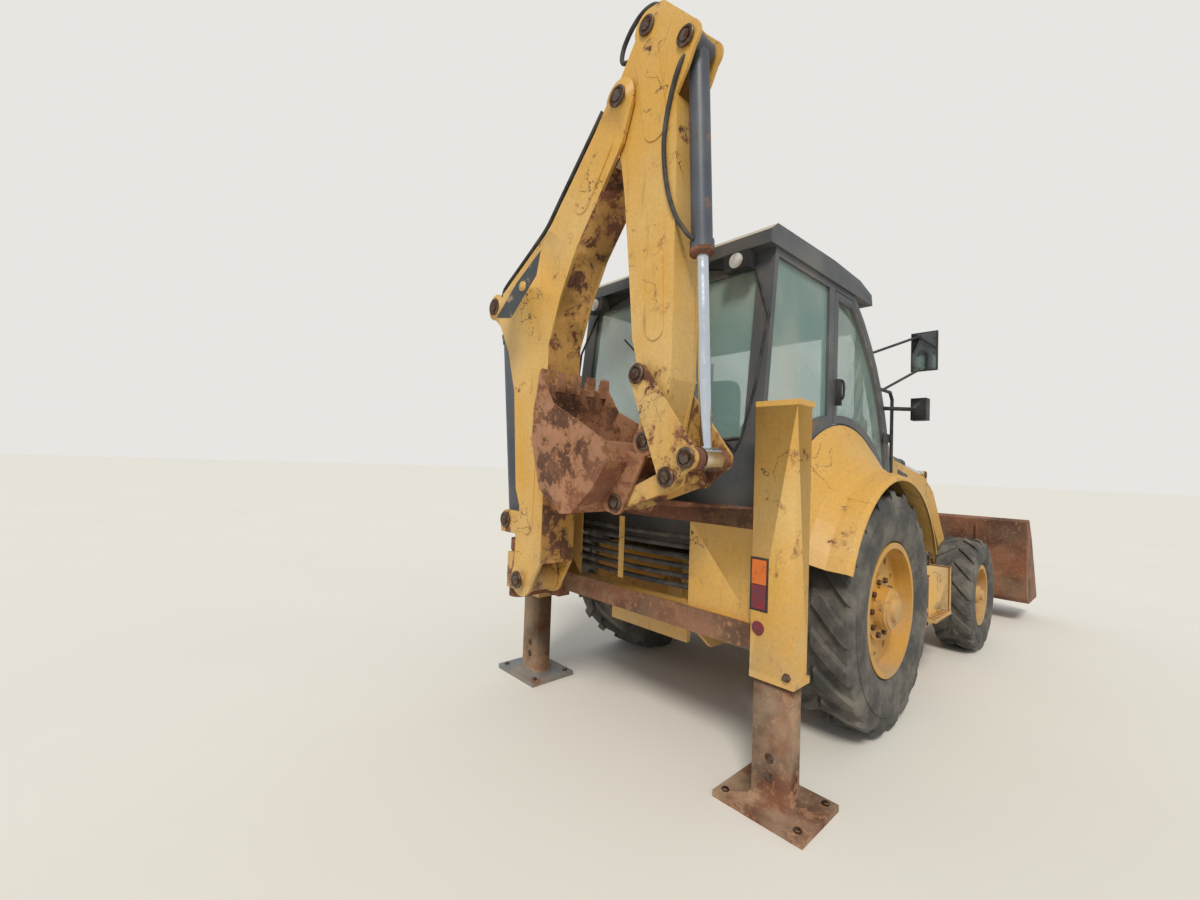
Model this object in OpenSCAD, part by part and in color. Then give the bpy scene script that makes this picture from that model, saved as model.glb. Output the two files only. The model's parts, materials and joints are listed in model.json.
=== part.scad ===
// Backhoe loader with side-shift hoe, parked with both stabilisers down.
// Millimetres. X runs forward, Y to the machine's left, Z up from the ground.
// Inside the modules X = 0 is the rear axle; place() then centres the whole machine.

/* [Wheels] */
// Distance from rear axle to front axle
wheelbase = 2160; // [2000:10:2300]
// Rear tyre diameter over its lugs
rear_tyre_d = 1400; // [1300:10:1450]
// Rear tyre width
rear_tyre_w = 420; // [360:10:460]
// Rear tyre centre from the machine's middle
rear_track = 850; // [820:5:880]
// Rear rim diameter at its flange
rear_rim_d = 770; // [700:10:800]
// Front tyre diameter over its lugs
front_tyre_d = 950; // [900:10:1000]
// Front tyre width
front_tyre_w = 310; // [260:10:340]
// Front tyre centre from the machine's middle
front_track = 930; // [900:5:960]
// Front rim diameter at its flange
front_rim_d = 510; // [460:10:540]

/* [Frame] */
// Outer half width of the two frame rails
rail_y = 330; // [310:5:345]
// Frame rail thickness
rail_t = 30; // [20:1:36]
// Underside of the frame rails
rail_z = 450; // [430:5:480]
// Height of the frame rails
rail_h = 260; // [220:5:280]
// Front end of the frame rails
rail_front_x = 2690; // [2650:5:2720]

/* [Rear frame and stabilisers] */
// Middle of the stabiliser legs behind the rear axle
leg_x = -1120; // [-1125:1:-1105]
// Middle of each leg from the machine's middle
leg_y = 915; // [900:5:925]
// Stabiliser housing size along X
housing_dx = 140; // [130:1:144]
// Stabiliser housing size along Y
housing_dy = 200; // [180:2:210]
// Underside of the housings
housing_z = 550; // [520:5:600]
// Top of the housings
housing_top = 1800; // [1700:10:1850]
// Wall thickness of the housings
housing_t = 12; // [8:1:14]
// Gap between leg and housing
leg_gap = 3; // [2:0.5:5]
// Foot pad size along Y
pad_dy = 420; // [360:10:440]
// Foot pad size along X
pad_dx = 345; // [300:5:360]
// Foot pad thickness
pad_t = 30; // [20:1:40]
// Upper guide rail, underside
upper_rail_z = 1210; // [1190:5:1215]
// Upper guide rail height
upper_rail_h = 95; // [85:5:100]
// Lower guide rail, underside
lower_rail_z = 660; // [640:5:680]
// Lower guide rail height
lower_rail_h = 120; // [100:5:130]

/* [Hoe] */
// Plane of the hoe behind the rear axle, the swing axis
hoe_x = -1450; // [-1470:1:-1449]
// Swing axis from the machine's middle, hoe shifted to the left
hoe_y = 675; // [665:5:680]
// Boom width over its side plates
boom_w = 240; // [230:2:250]
// Thickness of the boom side plates
boom_t = 20; // [14:1:22]
// Stick width over its side plates
stick_w = 184; // [170:2:186]
// Thickness of the stick side plates
stick_t = 16; // [12:1:18]
// Hoe bucket width
hoe_bucket_w = 500; // [400:10:500]
// Hinge pin diameter of the hoe
hoe_pin_d = 60; // [50:1:62]

/* [Loader] */
// Loader bucket width
loader_bucket_w = 2400; // [2350:10:2450]
// Middle of each loader arm from the machine's middle
arm_y = 545; // [540:5:550]
// Thickness of each loader arm
arm_t = 90; // [80:2:100]
// Hinge pin diameter of the loader
arm_pin_d = 50; // [40:1:54]

/* [Cab] */
// Half width of the cab at its waist
cab_y = 730; // [715:5:740]
// Top of the cab roof
roof_top = 2780; // [2740:5:2800]
// Cab floor height
floor_z = 1040; // [1030:5:1060]
// Thickness of posts and walls
wall_t = 45; // [40:1:50]
// Thickness of window glass
glass_t = 6; // [5:0.5:8]

/* [Hidden] */
// Highest circle count for small round pieces
$fn = 48;
rear_z = rear_tyre_d / 2;
front_z = front_tyre_d / 2;
rear_end_x = hoe_x - hoe_bucket_w / 2;
loader_lip_x = 4120;
mid_x = (rear_end_x + loader_lip_x) / 2;
gap = 6;

// Hoe pins in the plane of the hoe: reach from the swing axis, height
foot = [195, 790];
knee = [-220, 2505];
ram_base = [-35, 1120];
elbow = [900, 3345];
stick_ram_base = [95, 2570];
stick_ram_eye = [1055, 3635];
bucket_ram_base = [1300, 3430];
guide_pin = [1105, 1910];
rod_pin = [1405, 1525];
link_pin = [1300, 1440];
tip_pin = [1140, 1600];
ear_pin = [963, 1302];

// Loader pins in side view: X, height
lift_pivot = [1060, 1560];
arm_tip = [3330, 330];
lever_pivot = [2820, 960];
lever_top = [2700, 1500];
lever_foot = [2740, 548];
tilt_base = [1240, 1700];
lift_base = [1120, 700];
lift_eye = [2160, 1085];
bucket_link = [3290, 600];

// Moves the machine so that the middle of its length is at X = 0
module place() translate([-mid_x, 0, 0]) children();

// A flat shape drawn in X and Z, standing between two values of Y
module side(y0, y1) translate([0, y1, 0]) rotate([90, 0, 0]) linear_extrude(y1 - y0) children();

// The same on both sides of the machine
module both() {
    children();
    mirror([0, 1, 0]) children();
}

// A block from its low corner to its high corner
module block(low, high) translate(low) cube(high - low);

// A round bar along Y from y0 to y1
module bar_y(p, y0, y1, r) translate([p[0], y1, p[1]]) rotate([90, 0, 0]) cylinder(h = y1 - y0, r = r);

// A flat shape drawn in reach and height of the hoe, from x0 to x1 either side of the hoe's plane
module hoe_side(x0, x1)
    translate([hoe_x + x1, hoe_y, 0]) rotate([90, 0, -90]) linear_extrude(x1 - x0) children();

// A round bar of the hoe, across its plane
module hoe_bar(p, x0, x1, r)
    translate([hoe_x + x0, hoe_y - p[0], p[1]]) rotate([0, 90, 0]) cylinder(h = x1 - x0, r = r);

// Flat bar with round ends between two pins, each end an arc of short steps
module strap(a, b, ra, rb, steps = 12) {
    d = b - a;
    turn = atan2(d[1], d[0]);
    lean = asin((ra - rb) / norm(d));
    polygon(concat(
        [for (i = [0 : steps]) let (q = turn + 90 - lean + (180 + 2 * lean) * i / steps) a + ra * [cos(q), sin(q)]],
        [for (i = [0 : steps]) let (q = turn - 90 + lean + (180 - 2 * lean) * i / steps) b + rb * [cos(q), sin(q)]]));
}

// A round bar between two points in space
module bar(a, b, r) {
    d = b - a;
    translate(a) rotate([0, acos(d[2] / norm(d)), atan2(d[1], d[0])]) cylinder(h = norm(d), r = r);
}

// A bent bar through a list of points, with a ball at each bend
module bent_bar(path, r) {
    for (i = [0 : len(path) - 2]) bar(path[i], path[i + 1], r);
    for (i = [1 : len(path) - 2]) translate(path[i]) sphere(r + 0.6, $fn = 24);
}

// Ram barrel between its base pin and a length along it: eye, tube and gland, around +Z from the origin
module ram_barrel(len, r, eye_r, eye_w, bore_r, rod_r) {
    difference() {
        union() {
            translate([0, eye_w / 2, 0]) rotate([90, 0, 0]) cylinder(h = eye_w, r = eye_r);
            translate([0, 0, eye_r * 0.6]) cylinder(h = len - eye_r * 0.6, r = r);
            translate([0, 0, len - 60]) cylinder(h = 60, r = r + 7);
        }
        translate([0, eye_w / 2 + 1, 0]) rotate([90, 0, 0]) cylinder(h = eye_w + 2, r = bore_r);
        translate([0, 0, eye_r + 20]) cylinder(h = len, r = rod_r + 1);
    }
}

// Ram rod, from inside its barrel to the eye at length len
module ram_rod(start, len, r, eye_r, eye_w, bore_r) {
    difference() {
        union() {
            translate([0, 0, start]) cylinder(h = len - start - eye_r * 0.6, r = r);
            translate([0, eye_w / 2, len]) rotate([90, 0, 0]) cylinder(h = eye_w, r = eye_r);
        }
        translate([0, eye_w / 2 + 1, len]) rotate([90, 0, 0]) cylinder(h = eye_w + 2, r = bore_r);
    }
}

// Points +Z of its children from pin a to pin b, for a ram of the hoe
module hoe_ram(a, b)
    translate([hoe_x, hoe_y - a[0], a[1]]) rotate([90 - atan2(b[1] - a[1], b[0] - a[0]), 0, 0])
        rotate([0, 0, 90]) children();

// The same for a ram of the loader, at distance y from the machine's middle
module side_ram(a, b, y)
    translate([a[0], y, a[1]]) rotate([0, 90 - atan2(b[1] - a[1], b[0] - a[0]), 0]) children();

axle_tube_r = 105;
axle_pin_r = 38;
tower_x0 = 945;
tower_x1 = 1290;
tower_y0 = arm_y - arm_t / 2 - gap;
tower_y1 = arm_y + arm_t / 2 + gap;
tower_t = 25;
front_rise = 150;
nose_t = 40;
tow_z = 570;
tow_r = 25;
tow_t = 30;
tow_x = rail_front_x + nose_t + tow_r + 25;

// Outline of a frame rail: deep over its length, higher over the front axle, cut out over the rear axle
module rail_outline()
    difference() {
        polygon([[-1000, rail_z + 190], [-1000, 1000], [760, 1000], [1000, 868],
            [rail_front_x, rail_z + front_rise + rail_h], [rail_front_x, rail_z + front_rise],
            [1800, rail_z + front_rise], [1650, rail_z], [-780, rail_z]]);
        translate([0, rear_z]) circle(axle_tube_r + 0.3);
        translate([-axle_tube_r - 0.3, 0]) square([2 * axle_tube_r + 0.6, rear_z]);
    }

module main_frame() color("goldenrod") {
    inner = rail_y - rail_t;
    both() side(inner, rail_y) rail_outline();
    for (x = [-980, -420, 320, 980, 1320])
        block([x, -inner, rail_z + 60], [x + 30, inner, rail_z + 200]);
    block([-960, -inner, 960], [760, inner, 975]);
    // Shelves that the hood stands on
    for (x = [hood_rear_x + 10, rail_front_x - 90])
        block([x, -hood_y, 850], [x + 80, hood_y, hood_base_z]);
    // Nose plate, and a tow eye on it with an upright pin hole
    block([rail_front_x, -rail_y - 60, rail_z + 60], [rail_front_x + nose_t, rail_y + 60, 860]);
    difference() {
        block([rail_front_x + nose_t - 1, -tow_r - 35, tow_z - tow_t / 2],
            [tow_x + tow_r + 25, tow_r + 35, tow_z + tow_t / 2]);
        translate([tow_x, 0, tow_z - tow_t / 2 - 1]) cylinder(h = tow_t + 2, r = tow_r);
    }
    // Saddle plates that carry the pin of the front axle
    for (x = [wheelbase - 200, wheelbase + 170]) {
        difference() {
            block([x, -120, front_z - 70], [x + 30, 120, rail_z + 100]);
            translate([x - 1, 0, front_z]) rotate([0, 90, 0]) cylinder(h = 32, r = axle_pin_r + 0.3);
        }
        block([x, -inner, rail_z + 100], [x + 30, inner, rail_z + front_rise + 60]);
    }
    // Loader towers, each two plates with the arm between them
    both() {
        side(tower_y0 - tower_t, tower_y0) tower_outline();
        side(tower_y1, tower_y1 + tower_t) tower_outline();
        block([tower_x0 + 40, rail_y, 560], [tower_x1 - 40, tower_y1 + tower_t, 600]);
        block([tower_x0 + 10, rail_y, 600], [tower_x0 + 30, tower_y1 + tower_t, 1250]);
        bar_y(lift_pivot, tower_y0 - 40, tower_y1 + 40, arm_pin_d / 2);
        bar_y(lift_base, tower_y0 - 40, tower_y1 + 40, arm_pin_d / 2);
    }
}

module tower_outline()
    union() {
        translate(lift_pivot) circle(90);
        polygon([[tower_x0, 560], [tower_x1, 560], [tower_x1, 860], [1150, 1560], [970, 1560], [tower_x0, 1000]]);
    }

module engine_block() color("dimgray")
    block([1480, -rail_y + rail_t, 690], [2420, rail_y - rail_t, 1150]);

// Hood: sloped shell over the engine, open below, with a slotted grille in its nose
hood_y = 400;
hood_rear_x = 1310;
hood_front_x = 2740;
hood_base_z = 880;
hood_t = 8;
exhaust_at = [1560, -240];
exhaust_r = 38;
module hood_outline(inset)
    polygon([[hood_rear_x + inset, hood_base_z - min(inset, 1)], [hood_rear_x + inset, 1580 - inset],
        [1700, 1565 - inset], [2450, 1440 - inset], [2620 - inset, 1395 - inset],
        [hood_front_x - inset, 1290 - inset], [hood_front_x - inset, hood_base_z - min(inset, 1)]]);

module hood() color("goldenrod")
    difference() {
        side(-hood_y, hood_y) hood_outline(0);
        side(-hood_y + hood_t, hood_y - hood_t) hood_outline(hood_t);
        for (z = [930 : 40 : 1210])
            block([hood_front_x - 20, -300, z], [hood_front_x + 1, 300, z + 24]);
        for (y = [-hood_y - 1, hood_y - hood_t - 1], x = [2230 : 45 : 2500])
            block([x, y, 1010], [x + 26, y + hood_t + 2, 1260]);
        translate([exhaust_at[0], exhaust_at[1], 1500]) cylinder(h = 200, r = exhaust_r + 0.5);
    }

// Rear axle: round tube with its drive housing, flanges and the stubs that carry the wheels
hub_y = 925;
stub_r = 55;
module rear_axle() color("goldenrod") {
    translate([0, hub_y - 30, rear_z]) rotate([90, 0, 0]) cylinder(h = 2 * hub_y - 60, r = axle_tube_r);
    translate([0, 0, rear_z]) sphere(190);
    both() translate([0, hub_y, rear_z]) rotate([90, 0, 0]) cylinder(h = 40, r = 160);
    both() translate([0, hub_y + 60, rear_z]) rotate([90, 0, 0]) cylinder(h = 70, r = stub_r);
}

// Cab: its side view is a straight rear wall and a front bowed on a circle
cab_front_x = 890;
bow_z = 1250;
bow_r = 1700;
bow_x = cab_front_x - bow_r;
cab_top = 2650;
cab_rear_low = -1000;
cab_rear_high = -885;
function bow_at(z, inset) = bow_x + sqrt(pow(bow_r - inset, 2) - pow(z - bow_z, 2));
module cab_outline(inset)
    polygon(concat([[cab_rear_low + inset, floor_z + inset], [cab_rear_low + inset, 1620],
        [cab_rear_high + inset, cab_top - inset]],
        [for (i = [0 : 12]) let (z = cab_top - inset + (floor_z + 2 * inset - cab_top) * i / 12) [bow_at(z, inset), z]]));

// Edge of the fender where it meets the cab, an ellipse over the rear wheel
fender_reach = 960;
fender_rise = 1085;
function fender_edge(a, grow) = [(fender_reach + grow) * cos(a), rear_z + (fender_rise + grow) * sin(a)];
door_rear_x = -150;
door_z1 = 2610;
door_hinge = [848, cab_y + 12];
module door_outline(inset) {
    low = 1340 + 3.2 * inset;
    last = 98.5 - 0.058 * inset;
    first = 34.7 + 0.164 * inset;
    polygon(concat([for (i = [0 : 10]) fender_edge(last + (first - last) * i / 10, 12 + inset + 0.28 * i * i)],
        [for (i = [0 : 10]) let (z = low + (door_z1 - inset - low) * i / 10) [bow_at(z, 50 + inset), z]],
        [[door_rear_x + inset, door_z1 - inset], [door_rear_x + inset, 1790 + inset]]));
}

module rear_side_window(inset)
    polygon([[-950 + inset, 1690 + inset], [-855 + inset, door_z1 - inset], [-230 - inset, door_z1 - inset],
        [-230 - inset, 1830 + inset], [-560, 1750 + inset]]);

// Side view of the space that the rear wheel and its fender take from the cab
module wheel_well(grow)
    polygon(concat([for (i = [0 : 20]) fender_edge(170 - 160 * i / 20, grow)], [[1200, 900], [-1200, 900]]));

module cab_frame() color("dimgray") {
    inner = cab_y - wall_t;
    well_y = 615;
    difference() {
        side(-cab_y, cab_y) cab_outline(0);
        both() side(well_y, cab_y + 1) wheel_well(-45);
        difference() {
            side(-inner, inner) cab_outline(wall_t);
            both() side(well_y - wall_t, cab_y) wheel_well(0);
        }
        both() side(inner - 1, cab_y + 1) door_outline(-gap);
        // Room for the door's front corner as it swings round its hinges
        for (room = [[-58, 1480], [-30, 1480], [-18, 1760]])
            both() side(inner - 1, cab_y + 1) intersection() {
                translate([room[0], 0]) door_outline(-gap);
                polygon([[500, 1250], [900, 1250], [900, room[1]], [500, room[1]]]);
            }
        both() side(inner - 1, cab_y + 1) rear_side_window(0);
        block([-1100, -630, 1640], [-700, 630, 2560]);
        block([150, -640, 1300], [1200, 640, 2460]);
    }
    // Feet that carry the cab on the frame rails
    for (x = [-860, 560])
        both() block([x, rail_y - rail_t, 1000], [x + 90, rail_y + 60, floor_z]);
}

module cab_roof() color("goldenrod") {
    difference() {
        union() {
            side(-cab_y - 15, cab_y + 15)
                polygon([[-960, cab_top], [-960, 2720], [-900, roof_top - 15], [-200, roof_top], [200, 2765],
                    [400, 2720], [420, cab_top]]);
            side(-520, 520) polygon([[150, 2660], [150, 2770], [560, 2740], [800, 2690], [800, 2590], [770, 2580],
                [770, 2640], [400, 2655]]);
        }
        side(-640, 640) polygon([[-850, cab_top - 1], [-850, 2690], [120, 2690], [120, cab_top - 1]]);
    }
}

module cab_glass() color("lightblue") {
    both() side(cab_y - wall_t / 2, cab_y - wall_t / 2 + glass_t) rear_side_window(0.3);
    side(-639.7, 639.7)
        difference() {
            intersection() {
                translate([bow_x, bow_z]) circle(bow_r - 15, $fn = 160);
                polygon([[100, 2459.7], [1000, 2459.7], [1200, 1300.3], [400, 1300.3]]);
            }
            translate([bow_x, bow_z]) circle(bow_r - 15 - glass_t, $fn = 160);
        }
    lean = (cab_rear_high - cab_rear_low) / (cab_top - 1620);
    side(-629.7, 629.7)
        polygon([[cab_rear_low + 20 + 20 * lean, 1640.3], [cab_rear_low + 20 + glass_t + 20 * lean, 1640.3],
            [cab_rear_low + 20 + glass_t + 940 * lean, 2559.7], [cab_rear_low + 20 + 940 * lean, 2559.7]]);
}

// Fenders: shell that falls from the cab's side to an arch over the tyre
fender_rows = [[cab_y + gap, 960, 1085], [800, 915, 985], [870, 850, 870], [960, 810, 805], [1055, 790, 785], [1075, 770, 765]];
fender_t = 10;
module fenders() color("goldenrod") {
    steps = 24;
    rows = len(fender_rows);
    inside = [for (k = [rows - 1 : -1 : 0]) [fender_rows[k][0], fender_rows[k][1] - fender_t, fender_rows[k][2] - fender_t]];
    loop = concat(fender_rows, inside);
    count = len(loop);
    points = [for (i = [0 : steps], k = [0 : count - 1])
        let (a = 20 + 138 * i / steps) [loop[k][1] * cos(a), loop[k][0], rear_z + loop[k][2] * sin(a)]];
    skin = [for (i = [0 : steps - 1], k = [0 : count - 1])
        [i * count + k, i * count + (k + 1) % count, (i + 1) * count + (k + 1) % count, (i + 1) * count + k]];
    ends = [for (k = [0 : rows - 2]) [k, count - 1 - k, count - 2 - k, k + 1]];
    far = [for (k = [0 : rows - 2]) [steps * count + k, steps * count + k + 1,
        steps * count + count - 2 - k, steps * count + count - 1 - k]];
    both() polyhedron(points, concat(skin, ends, far));
}

module seat() color("black") {
    block([-420, -240, 1085], [-60, 240, 1110]);
    block([-360, -180, 1110], [-120, 180, 1330]);
    block([-450, -250, 1330], [40, 250, 1450]);
    block([-470, -245, 1400], [-360, 245, 2080]);
    both() block([-400, 265, 1580], [-60, 335, 1640]);
    both() block([-400, 245, 1450], [-360, 300, 1600]);
}

module console() color("dimgray") {
    // Front dash with steering column and wheel
    side(-160, 160) polygon([[520, 1085], [520, 1700], [600, 1720], [700, 1480], [730, 1085]]);
    translate([500, 0, 1640]) rotate([0, -35, 0]) {
        cylinder(h = 260, r = 28);
        translate([0, 0, 250]) rotate_extrude() translate([200, 0]) circle(16);
        for (a = [90, 210, 330]) rotate([0, 0, a]) block([0, -14, 244], [200, 14, 256]);
        translate([0, 0, 238]) cylinder(h = 26, r = 52);
    }
    // Side consoles with two levers at the rear
    both() side(380, 560) polygon([[-940, 1085], [-940, 1560], [-880, 1600], [-700, 1560], [-100, 1400], [-60, 1085]]);
    both() translate([-840, 460, 1560]) {
        cylinder(h = 160, r = 12);
        translate([0, 0, 190]) sphere(34);
    }
}

// Fuel tank on the left, hydraulic tank and battery box on the right, with a step under each door
module tanks() color("black") {
    both() {
        block([770, 650, 430], [1480, 990, 780]);
        block([860, rail_y, 520], [900, 650, 600]);
        block([1220, tower_y1 + tower_t, 500], [1260, 650, 700]);
        block([790, 990, 480], [1180, 1060, 500]);
        block([790, 990, 500], [1180, 994, 560]);
        translate([1380, 820, 780]) cylinder(h = 60, r = 45);
        translate([1380, 820, 840]) cylinder(h = 25, r = 52);
    }
}

module exhaust() color("dimgray") translate([exhaust_at[0], exhaust_at[1], 0]) {
    difference() {
        union() {
            translate([0, 0, 1150.3]) cylinder(h = 1590, r = exhaust_r);
            translate([0, 0, 1620]) cylinder(h = 340, r = 75);
            translate([0, 0, 1960]) cylinder(h = 60, r1 = 75, r2 = exhaust_r);
        }
        translate([0, 0, 2100]) cylinder(h = 700, r = exhaust_r - 5);
    }
}

// Rear frame: two stabiliser housings, two guide rails across, link plates and a closing panel on the right
rail_rear_x = -1180;
rail_deep = 100;
hose_end_y = 600;
module rear_frame() color("goldenrod") {
    x0 = leg_x - housing_dx / 2;
    x1 = leg_x + housing_dx / 2;
    y0 = leg_y - housing_dy / 2;
    y1 = leg_y + housing_dy / 2;
    both() difference() {
        union() {
            block([x0, y0, housing_z], [x1, y1, housing_top]);
            block([x0 - 1, y0 - 1, housing_top - 25], [x1 + 10, y1 + 10, housing_top]);
            block([x0 - 1, y0 - 1, housing_z], [x1 + 10, y1 + 10, housing_z + 30]);
        }
        block([x0 + housing_t, y0 + housing_t, housing_z + 60], [x1 - housing_t, y1 - housing_t, housing_top - housing_t]);
        block([leg_x - leg_dx / 2 - 0.4, leg_y - leg_dy / 2 - 0.4, housing_z - 1],
            [leg_x + leg_dx / 2 + 0.4, leg_y + leg_dy / 2 + 0.4, housing_z + 61]);
    }
    block([rail_rear_x, -y0, upper_rail_z], [rail_rear_x + rail_deep, y0, upper_rail_z + upper_rail_h]);
    block([rail_rear_x, -y0, lower_rail_z], [rail_rear_x + rail_deep, y0, lower_rail_z + lower_rail_h]);
    both() block([rail_rear_x + 20, y0 - 20, lower_rail_z], [rail_rear_x + rail_deep, y0, upper_rail_z]);
    both() block([rail_rear_x + rail_deep, rail_y + 0.3, lower_rail_z], [-760, rail_y + 30, 985]);
    both() block([rail_rear_x + 30, rail_y + 100, lower_rail_z + lower_rail_h], [rail_rear_x + 42, y0, upper_rail_z]);
    both() block([rail_rear_x + 35, hose_end_y, lower_rail_z + lower_rail_h - 1], [-1010, hose_end_y + 12, upper_rail_z + 1]);
}

module lamps() {
    // Tail lamps: indicator over brake light, and a reflector below
    color("orange") both() block([-1194, 818, 970], [-1190, 888, 1080]);
    color("darkred") both() block([-1194, 818, 860], [-1190, 888, 966]);
    // Work lamps under the rear edge of the roof
    color("dimgray") both() {
        block([-995, 485, 2545], [-925, 635, 2635]);
        block([-950, 550, 2634], [-930, 570, cab_top]);
    }
    // Road lamps on brackets at the cab's front posts
    color("dimgray") both() {
        block([872, 860, 1890], [960, 960, 2050]);
        difference() {
            bar([bow_at(1970, 20), cab_y - 18, 1970], [880, 880, 1970], 14);
            side(600, cab_y + 2) cab_outline(-0.3);
        }
    }
}

module mirrors() color("black") both() {
    block([842, 865, 2240], [866, 1030, 2520]);
    difference() {
        union() {
            bar([bow_at(2330, 20), cab_y - 18, 2330], [854, 930, 2500], 9);
            bar([bow_at(2080, 20), cab_y - 18, 2080], [854, 930, 2260], 9);
        }
        side(600, cab_y + 2) cab_outline(-0.3);
    }
}

module grab_rails() color("black") both()
    difference() {
        bent_bar([[bow_at(2110, 20), 712, 2110], [900, 712, 2110], [948, 712, 2060], [948, 712, 1500],
            [905, 712, 1450], [bow_at(1450, 20), 712, 1450]], 12);
        side(600, cab_y + 2) cab_outline(-0.3);
    }

// Hoses that bow across the rear frame, held by a strap
hose_bow = 2077;
module hose_bundle() {
    color("black")
        intersection() {
            for (z = [860 : 52 : 1150])
                translate([-1160 + hose_bow, 0, z]) rotate_extrude($fn = 160) translate([hose_bow, 0]) circle(15);
            block([-1200, -hose_end_y + 0.3, 800], [-1000, hose_end_y - 0.3, 1200]);
        }
    color("gold") block([-1179.5, 20, 835], [-1174.7, 60, 1190]);
}

// Front axle: beam with a middle boss on the saddle pin and an eye for each kingpin
kingpin_y = 700;
kingpin_r = 25;
front_hub_y = 935;
eye_z0 = front_z - 60;
eye_z1 = front_z + 60;
module front_axle() color("goldenrod")
    difference() {
        union() {
            block([wheelbase - 65, -kingpin_y + 20, front_z - 50], [wheelbase + 65, kingpin_y - 20, front_z + 50]);
            block([wheelbase - 160, -95, front_z - 62], [wheelbase + 160, 95, front_z + 62]);
            translate([wheelbase - 210, 0, front_z]) rotate([0, 90, 0]) cylinder(h = 420, r = axle_pin_r);
            both() translate([wheelbase, kingpin_y, eye_z0]) cylinder(h = eye_z1 - eye_z0, r = 55);
        }
        both() translate([wheelbase, kingpin_y, eye_z0 - 1]) cylinder(h = 200, r = kingpin_r + 0.5);
    }

// Steering knuckle: fork over the axle's eye with the kingpin through it, and the wheel's spindle
module knuckle() {
    fork = 10;
    for (z = [eye_z0 - fork - 25, eye_z1 + fork]) {
        translate([wheelbase, kingpin_y, z]) cylinder(h = 25, r = 58);
        block([wheelbase - 58, kingpin_y, z], [wheelbase + 58, kingpin_y + 85, z + 25]);
    }
    block([wheelbase - 58, kingpin_y + 66, eye_z0 - fork - 25], [wheelbase + 58, kingpin_y + 92, eye_z1 + fork + 25]);
    translate([wheelbase, kingpin_y, eye_z0 - fork - 25]) cylinder(h = eye_z1 - eye_z0 + 2 * fork + 50, r = kingpin_r);
    bar_y([wheelbase, front_z], kingpin_y + 90, front_hub_y, 90);
    bar_y([wheelbase, front_z], kingpin_y + 90, front_hub_y + 61, 40);
}
module knuckle_left() color("goldenrod") knuckle();
module knuckle_right() color("goldenrod") mirror([0, 1, 0]) knuckle();

// Tyre around the Y axis at the origin, its lugs in a V across the tread.
// Columns of a row: place along Y, radius on a lug, radius between lugs, turn of the lug
lugs = 16;
lug_columns = [[-1.6, 0], [0, 1], [8, 1], [9.6, 0]];
module tyre(d, w, rim_d) {
    r = d / 2;
    b = rim_d / 2 - 19.5;
    h = w / 2;
    deep = 0.04 * r;
    half = [[h - 45, b, b, 12], [h - 45, b + 26, b + 26, 12], [h, b + 0.45 * (r - b), b + 0.45 * (r - b), 12],
        [h - 8, r - 0.09 * r, r - 0.09 * r, 12], [h - 38, r - 5, r - 5 - deep, 12]];
    rows = concat(half, [[0, r, r - deep, 0]], [for (i = [len(half) - 1 : -1 : 0]) [-half[i][0], half[i][1], half[i][2], half[i][3]]]);
    count = len(rows);
    rings = 4 * lugs;
    points = [for (i = [0 : rings - 1], k = [0 : count - 1])
        let (column = lug_columns[i % 4], a = 360 / lugs * floor(i / 4) + column[0] + rows[k][3],
            q = column[1] == 1 ? rows[k][1] : rows[k][2]) [q * cos(a), rows[k][0], q * sin(a)]];
    faces = [for (i = [0 : rings - 1], k = [0 : count - 1], half_of = [0, 1])
        let (p = i * count + k, q = i * count + (k + 1) % count,
            m = ((i + 1) % rings) * count + k, n = ((i + 1) % rings) * count + (k + 1) % count)
        half_of == 0 ? [p, q, n] : [p, n, m]];
    polyhedron(points, faces);
}

// Rim inside the tyre: drum, two flanges, dished disc and hub bore; the disc stands at disc_y
module rim(w, rim_d, disc_y, bore) {
    b = rim_d / 2 - 21.3;
    h = w / 2;
    difference() {
        union() {
            bar_y([0, 0], -h + 30, h - 30, b);
            for (y = [-h + 28, h - 44]) bar_y([0, 0], y, y + 16, b + 24);
        }
        bar_y([0, 0], -h - 1, h + 1, b - 9);
    }
    difference() {
        union() {
            bar_y([0, 0], disc_y, disc_y + 14, b - 8);
            bar_y([0, 0], disc_y + 14, disc_y + 40, 0.52 * b);
            bar_y([0, 0], disc_y + 40, disc_y + 80, 0.34 * b);
        }
        bar_y([0, 0], disc_y - 1, disc_y + 65, bore);
        for (a = [0 : 30 : 330])
            translate([0.8 * b * cos(a), 0, 0.8 * b * sin(a)]) bar_y([0, 0], disc_y - 1, disc_y + 15, 0.06 * b);
    }
}

module at_rear() translate([0, rear_track, rear_z]) children();
module at_front() translate([wheelbase, front_track, front_z]) children();
module rear_tyre_left() color("black") at_rear() tyre(rear_tyre_d, rear_tyre_w, rear_rim_d);
module rear_tyre_right() color("black") mirror([0, 1, 0]) at_rear() tyre(rear_tyre_d, rear_tyre_w, rear_rim_d);
module front_tyre_left() color("black") at_front() tyre(front_tyre_d, front_tyre_w, front_rim_d);
module front_tyre_right() color("black") mirror([0, 1, 0]) at_front() tyre(front_tyre_d, front_tyre_w, front_rim_d);
rear_disc_y = hub_y - rear_track + 0.3;
front_disc_y = front_hub_y - front_track + 0.3;
module rear_rim_left() color("goldenrod") at_rear() rim(rear_tyre_w, rear_rim_d, rear_disc_y, stub_r + 0.5);
module rear_rim_right() color("goldenrod") mirror([0, 1, 0]) at_rear() rim(rear_tyre_w, rear_rim_d, rear_disc_y, stub_r + 0.5);
module front_rim_left() color("goldenrod") at_front() rim(front_tyre_w, front_rim_d, front_disc_y, 40.5);
module front_rim_right() color("goldenrod") mirror([0, 1, 0]) at_front() rim(front_tyre_w, front_rim_d, front_disc_y, 40.5);

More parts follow.
